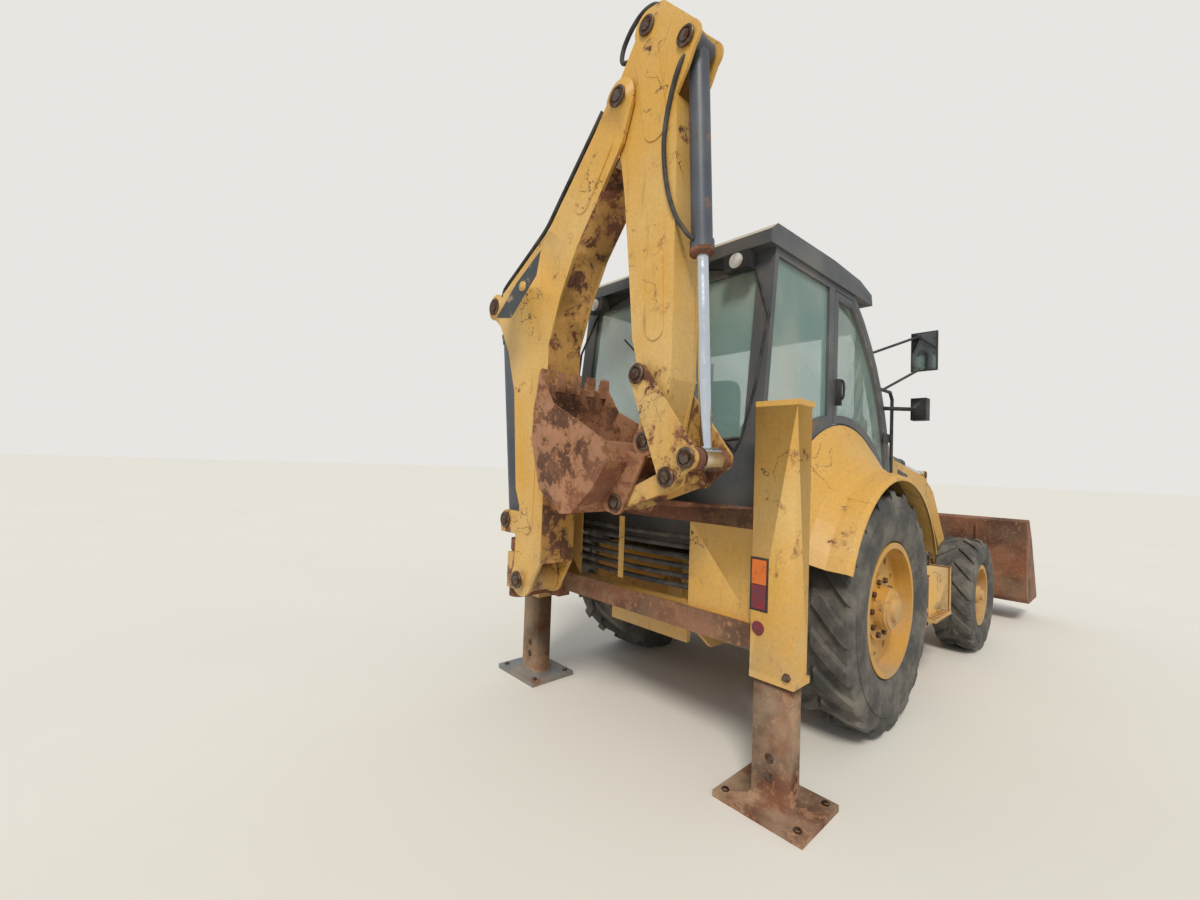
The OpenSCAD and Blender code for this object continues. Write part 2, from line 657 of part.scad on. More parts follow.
// Door: frame with glass, hinged at its front edge on two outside hinges
module door() {
    inner = cab_y - wall_t;
    color("dimgray") difference() {
        side(inner, cab_y) door_outline(0);
        side(inner - 1, cab_y + 1) door_outline(50);
    }
    color("lightblue") side(cab_y - 25, cab_y - 25 + glass_t) door_outline(49);
    color("black") {
        for (z = [1400, 1720]) {
            translate([door_hinge[0], door_hinge[1], z]) cylinder(h = 70, r = 11);
            block([bow_at(z + 70, 50) - 45, cab_y - 1, z], [bow_at(z + 70, 50) - 20, cab_y + 6, z + 70]);
            block([bow_at(z + 70, 50) - 22, cab_y + 0.6, z + 4], [door_hinge[0] + 3, cab_y + 6, z + 66]);
        }
        block([-135, cab_y - 1, 1900], [-110, cab_y + 35, 2060]);
    }
}
module door_left() door();
module door_right() mirror([0, 1, 0]) door();

// Loader arms with the lever shaft across and lugs for the lift rams
arm_y0 = arm_y - arm_t / 2;
arm_y1 = arm_y + arm_t / 2;
lever_shaft_r = 35;
pin_r = arm_pin_d / 2;
module arm_outline()
    difference() {
        union() {
            translate(lift_pivot) circle(90);
            translate(arm_tip) circle(78);
            translate(tilt_base) circle(50);
            polygon([[1090, 1645], [1190, 1720], [1290, 1720], [1420, 1612], [1300, 1560]]);
            polygon([[1060, 1650], [1500, 1600], [2250, 1480], [2560, 1330], [3390, 380],
                [3270, 280], [2500, 1080], [2250, 1200], [1500, 1350], [1060, 1470]]);
        }
        translate(lift_pivot) circle(pin_r + 0.5);
        translate(arm_tip) circle(pin_r + 0.5);
    }

module lift_lug() {
    translate(lift_eye) circle(52);
    polygon([[2060, 1260], [2112, 1070], [2208, 1070], [2290, 1210]]);
}

module loader_arms() color("goldenrod") {
    both() {
        side(arm_y0, arm_y1) arm_outline();
        for (y = [arm_y0, arm_y1 - 14]) side(y, y + 14) lift_lug();
        bar_y(tilt_base, tilt_y - 28, arm_y0 + 10, pin_r);
    }
    bar_y(lever_pivot, -arm_y0 - 10, arm_y0 + 10, lever_shaft_r);
}

// Levers: two plates each side on the lever shaft, open fork above, pin for the link below
lever_in = 420;
lever_out = 484;
lever_t = 12;
module lever_outline()
    difference() {
        union() {
            strap(lever_pivot, lever_top, 62, 42);
            strap(lever_pivot, lever_foot, 62, 42);
        }
        translate(lever_pivot) circle(lever_shaft_r + 0.5);
    }

module loader_levers() color("goldenrod") both() {
    side(lever_in, lever_in + lever_t) lever_outline();
    side(lever_out - lever_t, lever_out) lever_outline();
    side(lever_in, lever_out) difference() {
        translate(lever_pivot) circle(52);
        translate(lever_pivot) circle(lever_shaft_r + 0.5);
    }
    bar_y(lever_foot, lever_in - 8, lever_out + 2, pin_r);
    bar_y(lever_top, lever_in - 8, lever_in, pin_r);
}

module loader_links() color("goldenrod") both()
    side(lever_in + 16, lever_out - 16) difference() {
        strap(lever_foot, bucket_link, 40, 30);
        translate(lever_foot) circle(pin_r + 0.5);
    }

tilt_y = (lever_in + lever_out) / 2;
tilt_len = norm(lever_top - tilt_base);
module tilt_barrels() color("dimgray") both()
    side_ram(tilt_base, lever_top, tilt_y) ram_barrel(800, 36, 42, 36, pin_r + 0.5, 17);
module tilt_rods() color("silver") both()
    side_ram(tilt_base, lever_top, tilt_y) ram_rod(400, tilt_len, 17, 40, 36, pin_r);

lift_len = norm(lift_eye - lift_base);
module lift_barrels() color("dimgray") both()
    side_ram(lift_base, lift_eye, arm_y) ram_barrel(985, 42, 45, 56, pin_r + 0.5, 25);
module lift_rods() color("silver") both()
    side_ram(lift_base, lift_eye, arm_y) ram_rod(118, lift_len, 25, 45, 56, pin_r);

// Loader bucket: bent plate with ends, cutting edge and hinge ears on its back
bucket_wall = 16;
bucket_shape = [[3424, 1050], [3560, 1070], [3590, 1050], [3470, 960], [3450, 560], [3520, 300], [3640, 232],
    [loader_lip_x, 216], [loader_lip_x, 196], [3600, 200], [3480, 270], [3424, 480]];
module loader_bucket() color("goldenrod") {
    h = loader_bucket_w / 2;
    side(-h, h) polygon(bucket_shape);
    both() side(h - bucket_wall, h)
        polygon([[3424, 1050], [3600, 1060], [3760, 860], [4080, 300], [loader_lip_x, 216], [loader_lip_x, 196],
            [3600, 200], [3480, 270], [3424, 480]]);
    both() for (y = [lever_in, lever_out - lever_t]) side(y, y + lever_t) bucket_ear(true);
    both() for (y = [arm_y1 + gap, arm_y0 - gap - lever_t]) side(y, y + lever_t) bucket_ear(false);
    both() bar_y(arm_tip, arm_y0 - gap - lever_t - 4, arm_y1 + gap + lever_t + 4, pin_r);
    both() {
        bar_y(bucket_link, lever_in - 6, lever_in + lever_t, 40);
        bar_y(bucket_link, lever_out - lever_t, lever_out - 4, 40);
    }
}

module bucket_ear(linked)
    union() {
        if (linked) strap(bucket_link, [3440, 700], 42, 60);
        if (linked) polygon([[3260, 570], [3330, 560], [3440, 480], [3440, 760], [3290, 642]]);
        translate(arm_tip) circle(52);
        polygon([[3330, 382], [3440, 560], [3440, 440], [3500, 285], [3340, 279]]);
    }

// Carriage that slides on the guide rails, with two lugs for the swing pins
hoe_pin_r = hoe_pin_d / 2;
lug_low = 640;
lug_high = 930;
lug_t = 60;
module carriage() color("goldenrod") {
    x0 = rail_rear_x - gap - 40;
    x1 = rail_rear_x - gap;
    y0 = hoe_y - 125;
    y1 = hoe_y + 125;
    block([x0, y0, lower_rail_z - 40], [x1, y1, upper_rail_z + upper_rail_h + 30]);
    // Hooks over the upper rail and under the lower one
    block([x1 - 1, y0, upper_rail_z + upper_rail_h + gap], [rail_rear_x + 45, y1, upper_rail_z + upper_rail_h + 30]);
    block([x1 - 1, y0, lower_rail_z - 40], [rail_rear_x + 45, y1, lower_rail_z - gap]);
    // Wear pads against the rails
    for (z = [upper_rail_z + 10, lower_rail_z + 10])
        block([x1 - 1, y0 + 10, z], [rail_rear_x - 0.3, y1 - 10, z + 70]);
    block([rail_rear_x + 5, y0 + 10, upper_rail_z + upper_rail_h + 0.3],
        [rail_rear_x + 40, y1 - 10, upper_rail_z + upper_rail_h + gap + 1]);
    block([rail_rear_x + 5, y0 + 10, lower_rail_z - gap - 1], [rail_rear_x + 40, y1 - 10, lower_rail_z - 0.3]);
    for (z = [lug_low, lug_high])
        difference() {
            union() {
                translate([hoe_x, hoe_y, z]) cylinder(h = lug_t + (z == lug_high ? 10 : 0), r = 60);
                block([hoe_x, hoe_y - 60, z], [x0 + 1, hoe_y + 60, z + lug_t + (z == lug_high ? 10 : 0)]);
            }
            translate([hoe_x, hoe_y, z - 1]) cylinder(h = 100, r = hoe_pin_r + 0.5);
        }
}

cheek_in = 66;
cheek_out = 92;
module kingpost() color("goldenrod") {
    low = lug_low + lug_t + gap;
    high = lug_high - gap;
    translate([hoe_x, hoe_y, low]) cylinder(h = high - low, r = 55);
    translate([hoe_x, hoe_y, lug_low - 8]) cylinder(h = 380, r = hoe_pin_r);
    hoe_side(-cheek_out, cheek_out) polygon([[0, low], [120, low], [120, high], [0, high]]);
    for (w = [-cheek_out, cheek_in])
        hoe_side(w, w + cheek_out - cheek_in)
            difference() {
                union() {
                    translate(foot) circle(85);
                    translate(ram_base) circle(62);
                    polygon([[75, low], [195, 707], [280, 790], [250, 920], [205, 1080], [120, 1180], [-35, 1182],
                        [-96, 1120], [-92, 1042], [75, 1042]]);
                }
                translate(ram_base) circle(1);
            }
    hoe_bar(foot, -cheek_out, cheek_out, 80);
    hoe_bar(foot, -boom_w / 2 - 30, boom_w / 2 + 30, hoe_pin_r);
    hoe_bar(ram_base, -cheek_out - 6, cheek_out + 6, hoe_pin_r);
}

// Boom: two side plates, closed along its front edge; the rams run between the plates
module boom_outline()
    union() {
        translate(foot) circle(100);
        translate(knee) circle(85);
        translate(elbow) circle(95);
        polygon([[105, 790], [147, 1220], [99, 1326], [41, 1921], [-45, 2180], [-151, 2363], [-280, 2470],
            [-270, 2550], [-122, 2583], [339, 2843], [550, 3063], [723, 3246], [835, 3390], [965, 3390],
            [996, 3290], [930, 3100], [790, 2910], [598, 2660], [473, 2420], [380, 2171], [380, 913], [282, 745],
            [195, 720]]);
    }

boom_front = [[370, 913], [370, 2171], [463, 2424], [590, 2666], [782, 2916], [850, 3010]];
module band(path, r)
    for (i = [0 : len(path) - 2]) strap(path[i], path[i + 1], r, r, 4);

module boom() color("goldenrod") {
    w = boom_w / 2;
    for (x = [-w, w - boom_t])
        hoe_side(x, x + boom_t) difference() {
            boom_outline();
            translate(foot) circle(hoe_pin_r + 0.5);
        }
    hoe_side(-w + 1, w - 1) band(boom_front, 10);
    hoe_bar(elbow, -w - 12, w + 12, hoe_pin_r);
    hoe_bar(stick_ram_base, -w - 12, w + 12, hoe_pin_r);
    for (x = [-w - 12, w - boom_t - 12]) hoe_bar(knee, x, x + boom_t + 24, 60);
}

ram_eye_w = 120;
boom_ram_len = norm(knee - ram_base);
module boom_barrel() color("dimgray")
    hoe_ram(ram_base, knee) ram_barrel(1230, 58, 58, ram_eye_w, hoe_pin_r + 0.5, 32);
module boom_rod() color("silver")
    hoe_ram(ram_base, knee) ram_rod(110, boom_ram_len, 32, 55, ram_eye_w, hoe_pin_r);

// Stick: two side plates inside the boom's fork, closed front and back between its pins
module stick_outline()
    union() {
        translate(elbow) circle(90);
        translate(stick_ram_eye) circle(85);
        translate(bucket_ram_base) circle(75);
        translate(guide_pin) circle(60);
        translate(tip_pin) circle(75);
        polygon([[818, 3300], [827, 3400], [973, 3610], [1060, 3720], [1155, 3705], [1345, 3490], [1370, 3420],
            [1315, 3300], [1251, 3200], [1260, 2958], [1270, 2219], [1270, 1883], [1215, 1600], [1066, 1590],
            [1087, 1691], [1068, 1940], [1020, 2103], [982, 2449], [934, 2843], [905, 3010]]);
    }

stick_front = [[1175, 3660], [1335, 3480], [1356, 3420], [1303, 3300], [1239, 3200], [1249, 2958], [1259, 2219],
    [1259, 1883], [1210, 1680]];
stick_back = [[850, 3230], [917, 3010], [946, 2843], [994, 2449], [1032, 2103], [1050, 2035]];
module stick() color("goldenrod") {
    w = stick_w / 2;
    for (x = [-w, w - stick_t])
        hoe_side(x, x + stick_t) difference() {
            stick_outline();
            translate(elbow) circle(hoe_pin_r + 0.5);
            translate(guide_pin) circle(hoe_pin_r + 0.5);
            translate(tip_pin) circle(hoe_pin_r + 0.5);
        }
    hoe_side(-w + 1, w - 1) band([[1190, 3650], [1290, 3535]], 9);
    hoe_side(-w + 1, w - 1) band([for (i = [4 : 8]) stick_front[i]], 9);
    hoe_side(-w + 1, w - 1) band([for (i = [1 : 5]) stick_back[i]], 9);
    hoe_bar(bucket_ram_base, -w - 8, w + 8, hoe_pin_r);
    hoe_side(-w + 1, w - 1) difference() {
        translate(tip_pin) circle(52);
        translate(tip_pin) circle(hoe_pin_r + 0.5);
    }
    for (x = [-w - 6, w]) hoe_bar(stick_ram_eye, x, x + 6, hoe_pin_r);
}

stick_ram_len = norm(stick_ram_eye - stick_ram_base);
module stick_barrel() color("dimgray")
    hoe_ram(stick_ram_base, stick_ram_eye) ram_barrel(760, 50, 52, ram_eye_w, hoe_pin_r + 0.5, 28);
module stick_rod() color("silver")
    hoe_ram(stick_ram_base, stick_ram_eye) ram_rod(680, stick_ram_len, 28, 50, ram_eye_w, hoe_pin_r);

bucket_ram_len = norm(rod_pin - bucket_ram_base);
module bucket_barrel() color("dimgray")
    hoe_ram(bucket_ram_base, rod_pin) ram_barrel(985, 48, 52, ram_eye_w, hoe_pin_r + 0.5, 28);
module bucket_rod() color("silver")
    hoe_ram(bucket_ram_base, rod_pin) ram_rod(720, bucket_ram_len, 28, 55, ram_eye_w, hoe_pin_r);

// Guide links outside the stick, joined by the pins at both of their fixed ends
guide_in = 119;
guide_out = 137;
module guide_links() color("goldenrod") {
    for (x = [-guide_out, guide_in])
        hoe_side(x, x + guide_out - guide_in)
            union() {
                translate(guide_pin) circle(55);
                translate(rod_pin) circle(52);
                translate(link_pin) circle(52);
                polygon([[1063, 1875], [1255, 1420], [1345, 1415], [1455, 1510], [1435, 1570], [1146, 1945]]);
            }
    hoe_bar(guide_pin, -guide_out - 6, guide_out + 6, hoe_pin_r);
    hoe_bar(link_pin, -guide_out - 6, guide_out + 6, hoe_pin_r);
    for (x = [-guide_out - 6, guide_out]) hoe_bar(rod_pin, x, x + 6, hoe_pin_r);
}

module power_link() color("goldenrod") {
    for (x = [-90, 66])
        hoe_side(x, x + 24) difference() {
            strap(link_pin, ear_pin, 50, 36);
            translate(link_pin) circle(hoe_pin_r + 0.5);
        }
    hoe_side(-67, 67) strap([1200, 1399], [1060, 1341], 22, 22);
}

// Hoe bucket: bent shell with sides, five teeth, and two hinge ears on its back
tooth_w = 60;
hoe_bucket_shell = [[483, 1921], [445, 1787], [435, 1604], [521, 1345], [704, 1230], [795, 1240], [955, 1385],
    [1040, 1500], [1025, 1590]];
module hoe_bucket() color("goldenrod") {
    w = hoe_bucket_w / 2;
    t = 9;
    hoe_side(-w + 1, w - 1) band([[490, 1915], [454, 1787], [444, 1606], [527, 1352], [706, 1240], [791, 1250],
        [949, 1392], [1031, 1503], [1016, 1588]], t);
    for (x = [-w, w - 2 * t])
        hoe_side(x, x + 2 * t) polygon(concat(hoe_bucket_shell, [[752, 1729], [600, 1800], [505, 1935]]));
    for (i = [0 : 4]) {
        x = -w + tooth_w / 2 + i * (2 * w - tooth_w) / 4;
        hoe_side(x - tooth_w / 2, x + tooth_w / 2) polygon([[472, 1880], [480, 1955], [498, 1992], [506, 1992],
            [510, 1955], [502, 1880]]);
    }
    for (x = [-113, 97])
        hoe_side(x, x + 16)
            union() {
                translate(tip_pin) circle(70);
                translate(ear_pin) circle(58);
                polygon([[1016, 1560], [1150, 1532], [1020, 1290], [940, 1250], [830, 1270], [955, 1400], [1030, 1510]]);
            }
    hoe_bar(tip_pin, -116, 116, hoe_pin_r);
    for (x = [-116, 97]) hoe_bar(ear_pin, x, x + 19, hoe_pin_r);
}

// Stabiliser leg inside its housing, with a ribbed foot pad on the ground
leg_dx = housing_dx - 2 * housing_t - 2 * leg_gap;
leg_dy = housing_dy - 2 * housing_t - 2 * leg_gap;
leg_top = 1250;
module leg() {
    color("goldenrod") block([leg_x - leg_dx / 2, leg_y - leg_dy / 2, pad_t],
        [leg_x + leg_dx / 2, leg_y + leg_dy / 2, leg_top]);
    color("dimgray") {
        block([leg_x - pad_dx / 2, leg_y - pad_dy / 2, 0], [leg_x + pad_dx / 2, leg_y + pad_dy / 2, pad_t]);
        block([leg_x - 62, leg_y - 92, pad_t - 1], [leg_x + 62, leg_y + 92, pad_t + 12]);
    }
}
module leg_left() leg();
module leg_right() mirror([0, 1, 0]) leg();

place() main_frame();
place() engine_block();
place() hood();
place() rear_axle();
place() cab_frame();
place() cab_roof();
place() cab_glass();
place() fenders();
place() seat();
place() console();
place() tanks();
place() exhaust();
place() rear_frame();
place() lamps();
place() mirrors();
place() grab_rails();
place() hose_bundle();
place() front_axle();
place() knuckle_left();
place() knuckle_right();
place() front_tyre_left();
place() front_tyre_right();
place() front_rim_left();
place() front_rim_right();
place() rear_tyre_left();
place() rear_tyre_right();
place() rear_rim_left();
place() rear_rim_right();
place() door_left();
place() door_right();
place() loader_arms();
place() loader_levers();
place() loader_links();
place() tilt_barrels();
place() tilt_rods();
place() lift_barrels();
place() lift_rods();
place() loader_bucket();
place() carriage();
place() kingpost();
place() boom();
place() boom_barrel();
place() boom_rod();
place() stick();
place() stick_barrel();
place() stick_rod();
place() bucket_barrel();
place() bucket_rod();
place() guide_links();
place() power_link();
place() hoe_bucket();
place() leg_left();
place() leg_right();
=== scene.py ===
import json
import math

import bmesh
import bpy
import numpy as np
from mathutils import Matrix, Vector

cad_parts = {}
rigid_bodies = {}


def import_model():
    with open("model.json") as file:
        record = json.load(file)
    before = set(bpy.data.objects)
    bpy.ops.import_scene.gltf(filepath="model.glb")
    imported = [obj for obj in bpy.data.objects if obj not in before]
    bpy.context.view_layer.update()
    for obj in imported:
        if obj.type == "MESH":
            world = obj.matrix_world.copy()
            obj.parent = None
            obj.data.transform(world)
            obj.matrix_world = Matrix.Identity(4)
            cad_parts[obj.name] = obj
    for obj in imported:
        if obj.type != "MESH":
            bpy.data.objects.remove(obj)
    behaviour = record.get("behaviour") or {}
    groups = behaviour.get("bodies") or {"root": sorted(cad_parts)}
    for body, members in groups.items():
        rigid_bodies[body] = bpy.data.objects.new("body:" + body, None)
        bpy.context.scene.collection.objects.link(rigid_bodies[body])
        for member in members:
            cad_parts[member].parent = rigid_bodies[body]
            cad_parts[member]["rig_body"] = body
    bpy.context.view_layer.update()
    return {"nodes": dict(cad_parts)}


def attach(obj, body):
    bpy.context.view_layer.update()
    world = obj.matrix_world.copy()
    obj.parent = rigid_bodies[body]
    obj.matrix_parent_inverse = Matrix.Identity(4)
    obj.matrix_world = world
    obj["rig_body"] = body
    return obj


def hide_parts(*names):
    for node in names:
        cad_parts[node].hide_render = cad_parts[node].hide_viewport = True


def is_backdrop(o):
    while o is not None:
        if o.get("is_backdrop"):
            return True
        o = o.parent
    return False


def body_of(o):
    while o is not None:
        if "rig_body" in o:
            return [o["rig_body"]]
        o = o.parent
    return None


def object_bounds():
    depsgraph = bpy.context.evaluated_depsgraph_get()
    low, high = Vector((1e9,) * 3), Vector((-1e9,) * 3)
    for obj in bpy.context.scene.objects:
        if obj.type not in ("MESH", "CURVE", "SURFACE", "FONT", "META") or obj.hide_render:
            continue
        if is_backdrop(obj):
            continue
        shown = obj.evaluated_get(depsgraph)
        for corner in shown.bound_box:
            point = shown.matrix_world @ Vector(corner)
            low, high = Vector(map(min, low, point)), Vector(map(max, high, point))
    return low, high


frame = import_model()

# Camera
# A wide lens at head height, behind the machine's right side, turned a little
# about its own axis, as the picture was taken.
yaw, pitch, roll = math.radians(47.439), math.radians(1.739), math.radians(2.008)
look = np.array([math.cos(yaw) * math.cos(pitch), math.sin(yaw) * math.cos(pitch), math.sin(pitch)])
level = np.array([math.sin(yaw), -math.cos(yaw), 0.0])
above = np.cross(level, look)
across = level * math.cos(roll) + above * math.sin(roll)
upward = above * math.cos(roll) - level * math.sin(roll)
lens = bpy.data.cameras.new("camera")
lens.sensor_width = 36.0
lens.lens = 505.07 / 1200 * 36.0
lens.clip_end = 300.0
camera = bpy.data.objects.new("camera", lens)
bpy.context.scene.collection.objects.link(camera)
turned = Matrix([[across[i], upward[i], -look[i], 0.0] for i in range(3)] + [[0, 0, 0, 1]])
camera.matrix_world = Matrix.Translation((-4.49789, -2.04471, 1.48097)) @ turned
bpy.context.scene.camera = camera


# Weathered yellow frame
# The welded frame, arms and rims are painted ochre yellow, sun-bleached, with
# dark cracks in the paint, rust chips and pale dust. Their shapes are the frame's own.
def tone(red, green, blue):
    """A colour given as 0 to 255 screen values, turned into the linear values that a shader takes."""
    c = np.array([red, green, blue]) / 255.0
    lin = np.where(c <= 0.04045, c / 12.92, ((c + 0.055) / 1.055) ** 2.4)
    return (float(lin[0]), float(lin[1]), float(lin[2]), 1.0)


class Finish:
    """A material under construction: short calls that add a node and return its output."""

    def __init__(self, name, roughness=0.6, metallic=0.0, source="Object"):
        self.mat = bpy.data.materials.new(name)
        self.mat.use_nodes = True
        self.nodes = self.mat.node_tree.nodes
        self.links = self.mat.node_tree.links
        self.shader = self.nodes["Principled BSDF"]
        self.shader.inputs["Roughness"].default_value = roughness
        self.shader.inputs["Metallic"].default_value = metallic
        self.coords = self.nodes.new("ShaderNodeTexCoord").outputs[source]

    def join(self, source, socket):
        if isinstance(source, (int, float, tuple)):
            socket.default_value = source
        else:
            self.links.new(source, socket)

    def stretched(self, scale):
        node = self.nodes.new("ShaderNodeMapping")
        self.links.new(self.coords, node.inputs["Vector"])
        node.inputs["Scale"].default_value = scale
        return node.outputs["Vector"]

    def noise(self, scale, detail=4.0, rough=0.55, stretch=(1, 1, 1), warp=0.0):
        node = self.nodes.new("ShaderNodeTexNoise")
        self.links.new(self.stretched(stretch), node.inputs["Vector"])
        node.inputs["Scale"].default_value = scale
        node.inputs["Detail"].default_value = detail
        node.inputs["Roughness"].default_value = rough
        node.inputs["Distortion"].default_value = warp
        return node.outputs["Fac"]

    def cells(self, scale, stretch=(1, 1, 1), wander=0.0):
        """Distance to the edges of random cells; wander bends the edges by a noise, in metres."""
        place = self.stretched(stretch)
        if wander:
            bend = self.nodes.new("ShaderNodeTexNoise")
            self.links.new(self.coords, bend.inputs["Vector"])
            bend.inputs["Scale"].default_value = 7.0
            bend.inputs["Detail"].default_value = 6.0
            shift = self.nodes.new("ShaderNodeVectorMath")
            shift.operation = "MULTIPLY_ADD"
            self.links.new(bend.outputs["Color"], shift.inputs[0])
            shift.inputs[1].default_value = (wander, wander, wander)
            self.links.new(place, shift.inputs[2])
            place = shift.outputs[0]
        node = self.nodes.new("ShaderNodeTexVoronoi")
        node.feature = "DISTANCE_TO_EDGE"
        self.links.new(place, node.inputs["Vector"])
        node.inputs["Scale"].default_value = scale
        return node.outputs["Distance"]

    def band(self, value, low, high, to_low=0.0, to_high=1.0):
        node = self.nodes.new("ShaderNodeMapRange")
        node.interpolation_type = "SMOOTHSTEP"
        self.join(value, node.inputs["Value"])
        node.inputs["From Min"].default_value = low
        node.inputs["From Max"].default_value = high
        node.inputs["To Min"].default_value = to_low
        node.inputs["To Max"].default_value = to_high
        return node.outputs["Result"]

    def sum(self, kind, a, b):
        node = self.nodes.new("ShaderNodeMath")
        node.operation = kind
        node.use_clamp = kind in ("ADD", "MULTIPLY", "MAXIMUM")
        self.join(a, node.inputs[0])
        self.join(b, node.inputs[1])
        return node.outputs[0]

    def mix(self, amount, a, b):
        node = self.nodes.new("ShaderNodeMix")
        node.data_type = "RGBA"
        self.join(amount, node.inputs[0])
        self.join(a, node.inputs[6])
        self.join(b, node.inputs[7])
        return node.outputs[2]

    def height(self):
        node = self.nodes.new("ShaderNodeSeparateXYZ")
        self.links.new(self.coords, node.inputs[0])
        return node.outputs["Z"]

    def relief(self, value, strength, distance=0.004):
        node = self.nodes.new("ShaderNodeBump")
        node.inputs["Strength"].default_value = strength
        node.inputs["Distance"].default_value = distance
        self.join(value, node.inputs["Height"])
        self.links.new(node.outputs["Normal"], self.shader.inputs["Normal"])

    def colour(self, value):
        self.join(value, self.shader.inputs["Base Color"])

    def two_tone(self, first, second, scale, detail, low, high, rough=0.55):
        """Base colour: from the first tone to the second where a noise rises from low to high."""
        self.colour(self.mix(self.band(self.noise(scale, detail, rough), low, high), first, second))

    def rough(self, value):
        self.join(value, self.shader.inputs["Roughness"])


RUST_DARK = tone(78, 48, 34)
RUST_MID = tone(128, 80, 56)
RUST_PALE = tone(166, 112, 74)
DUST = tone(176, 152, 124)


def rust_colour(look):
    """Rust: a slow mix of dark brown and mid brown, with small pale orange grains on top."""
    slow = look.mix(look.band(look.noise(3.0, 5.0), 0.38, 0.62), RUST_DARK, RUST_MID)
    return look.mix(look.band(look.noise(38.0, 6.0, 0.7), 0.52, 0.72), slow, RUST_PALE)


def weathered(name, fresh, faded, chips, streaks, dust=0.5, roughness=0.5, cracks=1.0):
    """Old paint: fresh to faded by slow noise, cracks along warped cell edges, rust where a rough
    noise passes its threshold (chips: 0 few, 1 nearly all rust), brown streaks drawn out downwards,
    and dust low down."""
    look = Finish(name, roughness)
    base = look.mix(look.band(look.noise(1.7, 5.0, 0.6), 0.35, 0.68), fresh, faded)
    grain = look.band(look.noise(60.0, 3.0, 0.6), 0.3, 0.7, 0.0, 0.16)
    base = look.mix(grain, base, tone(120, 86, 46))
    runs = look.band(look.noise(5.0, 6.0, 0.65, (5.5, 5.5, 0.7)), 0.60 - 0.12 * streaks, 0.78, 0.0, 0.55)
    base = look.mix(runs, base, tone(124, 88, 54))
    rough_noise = look.noise(6.5, 12.0, 0.74, warp=0.25)
    start = 0.66 - 0.36 * chips
    rusty = look.band(rough_noise, start, start + 0.035)
    halo = look.band(rough_noise, start - 0.05, start + 0.01, 0.0, 0.6)
    net = look.band(look.cells(3.4, stretch=(1.0, 1.0, 0.7), wander=0.34), 0.003, 0.010, 1.0, 0.0)
    where = look.band(look.noise(2.9, 5.0), 0.52, 0.60, 0.0, cracks)
    fine = look.sum("MULTIPLY", net, where)
    base = look.mix(halo, base, tone(150, 104, 58))
    base = look.mix(fine, base, tone(52, 36, 26))
    base = look.mix(rusty, base, rust_colour(look))
    low = look.band(look.height(), 0.0, 1.5, dust, 0.06)
    drift = look.sum("MULTIPLY", low, look.band(look.noise(4.0, 6.0), 0.32, 0.66))
    look.colour(look.mix(drift, base, DUST))
    worn = look.sum("MAXIMUM", rusty, drift)
    look.rough(look.band(worn, 0.0, 1.0, roughness, 0.9))
    sunk = look.sum("MULTIPLY", rusty, -0.5)
    pit = look.sum("ADD", sunk, look.sum("MULTIPLY", look.noise(90.0, 4.0), 0.35))
    look.relief(look.sum("ADD", look.sum("MULTIPLY", fine, -0.6), pit), 0.45)
    return look.mat


yellow = weathered("weathered_yellow", tone(212, 162, 70), tone(216, 178, 108), 0.10, 0.25)
rubbed = weathered("rubbed_yellow", tone(206, 156, 70), tone(210, 172, 106), 0.34, 0.7, 0.6)
rim_yellow = weathered("rim_yellow", tone(206, 152, 52), tone(202, 154, 70), 0.04, 0.1, 0.75, 0.55, 0.3)
rusted = weathered("rusted_plate", tone(150, 100, 72), tone(140, 96, 74), 0.74, 0.9, 0.55, 0.75)
dark_rust = weathered("dark_rust", tone(96, 72, 54), tone(84, 66, 54), 0.80, 0.9, 0.25, 0.7)
worn_belly = weathered("worn_belly", tone(214, 162, 84), tone(196, 146, 78), 0.42, 0.9, 0.4, 0.6)
leg_rust = weathered("leg_rust", tone(160, 116, 92), tone(150, 112, 92), 0.66, 1.0, 0.7, 0.8)


def dress(material, *names):
    """Gives CAD nodes a material in place of every slot they have."""
    for name in names:
        data = frame["nodes"][name].data
        for i in range(len(data.materials)):
            data.materials[i] = material


dress(yellow, "main_frame", "hood", "fenders", "stick", "loader_arms", "loader_levers", "loader_links",
      "cab_roof")
dress(rubbed, "rear_axle", "front_axle", "knuckle_left", "knuckle_right", "guide_links", "power_link")
dress(rim_yellow, "rear_rim_left", "rear_rim_right", "front_rim_left", "front_rim_right")
dress(dark_rust, "carriage", "engine_block")
dress(rubbed, "kingpost")


def surface(name, points, closed_u=False, closed_v=False, caps=False, smooth=True):
    """A sheet of quads through a grid of points; it may close on itself either way, and caps
    fill both ends."""
    rows, cols = points.shape[:2]
    at = np.arange(rows * cols).reshape(rows, cols)
    down = at if not closed_u else np.vstack([at, at[:1]])
    grid = down if not closed_v else np.hstack([down, down[:, :1]])
    quads = np.stack([grid[:-1, :-1], grid[:-1, 1:], grid[1:, 1:], grid[1:, :-1]], -1).reshape(-1, 4)
    faces = quads.tolist()
    if caps:
        faces += [at[0, ::-1].tolist(), at[-1].tolist()]
    data = bpy.data.meshes.new(name)
    data.from_pydata(points.reshape(-1, 3).tolist(), [], faces)
    data.validate()
    data.update()
    data.polygons.foreach_set("use_smooth", np.full(len(data.polygons), smooth))
    piece = bpy.data.objects.new(name, data)
    bpy.context.scene.collection.objects.link(piece)
    return piece


def outward(piece):
    """Turns every face of a closed mesh so that it points out."""
    work = bmesh.new()
    work.from_mesh(piece.data)
    bmesh.ops.remove_doubles(work, verts=work.verts, dist=1e-6)
    bmesh.ops.recalc_face_normals(work, faces=work.faces)
    work.to_mesh(piece.data)
    work.free()
    return piece


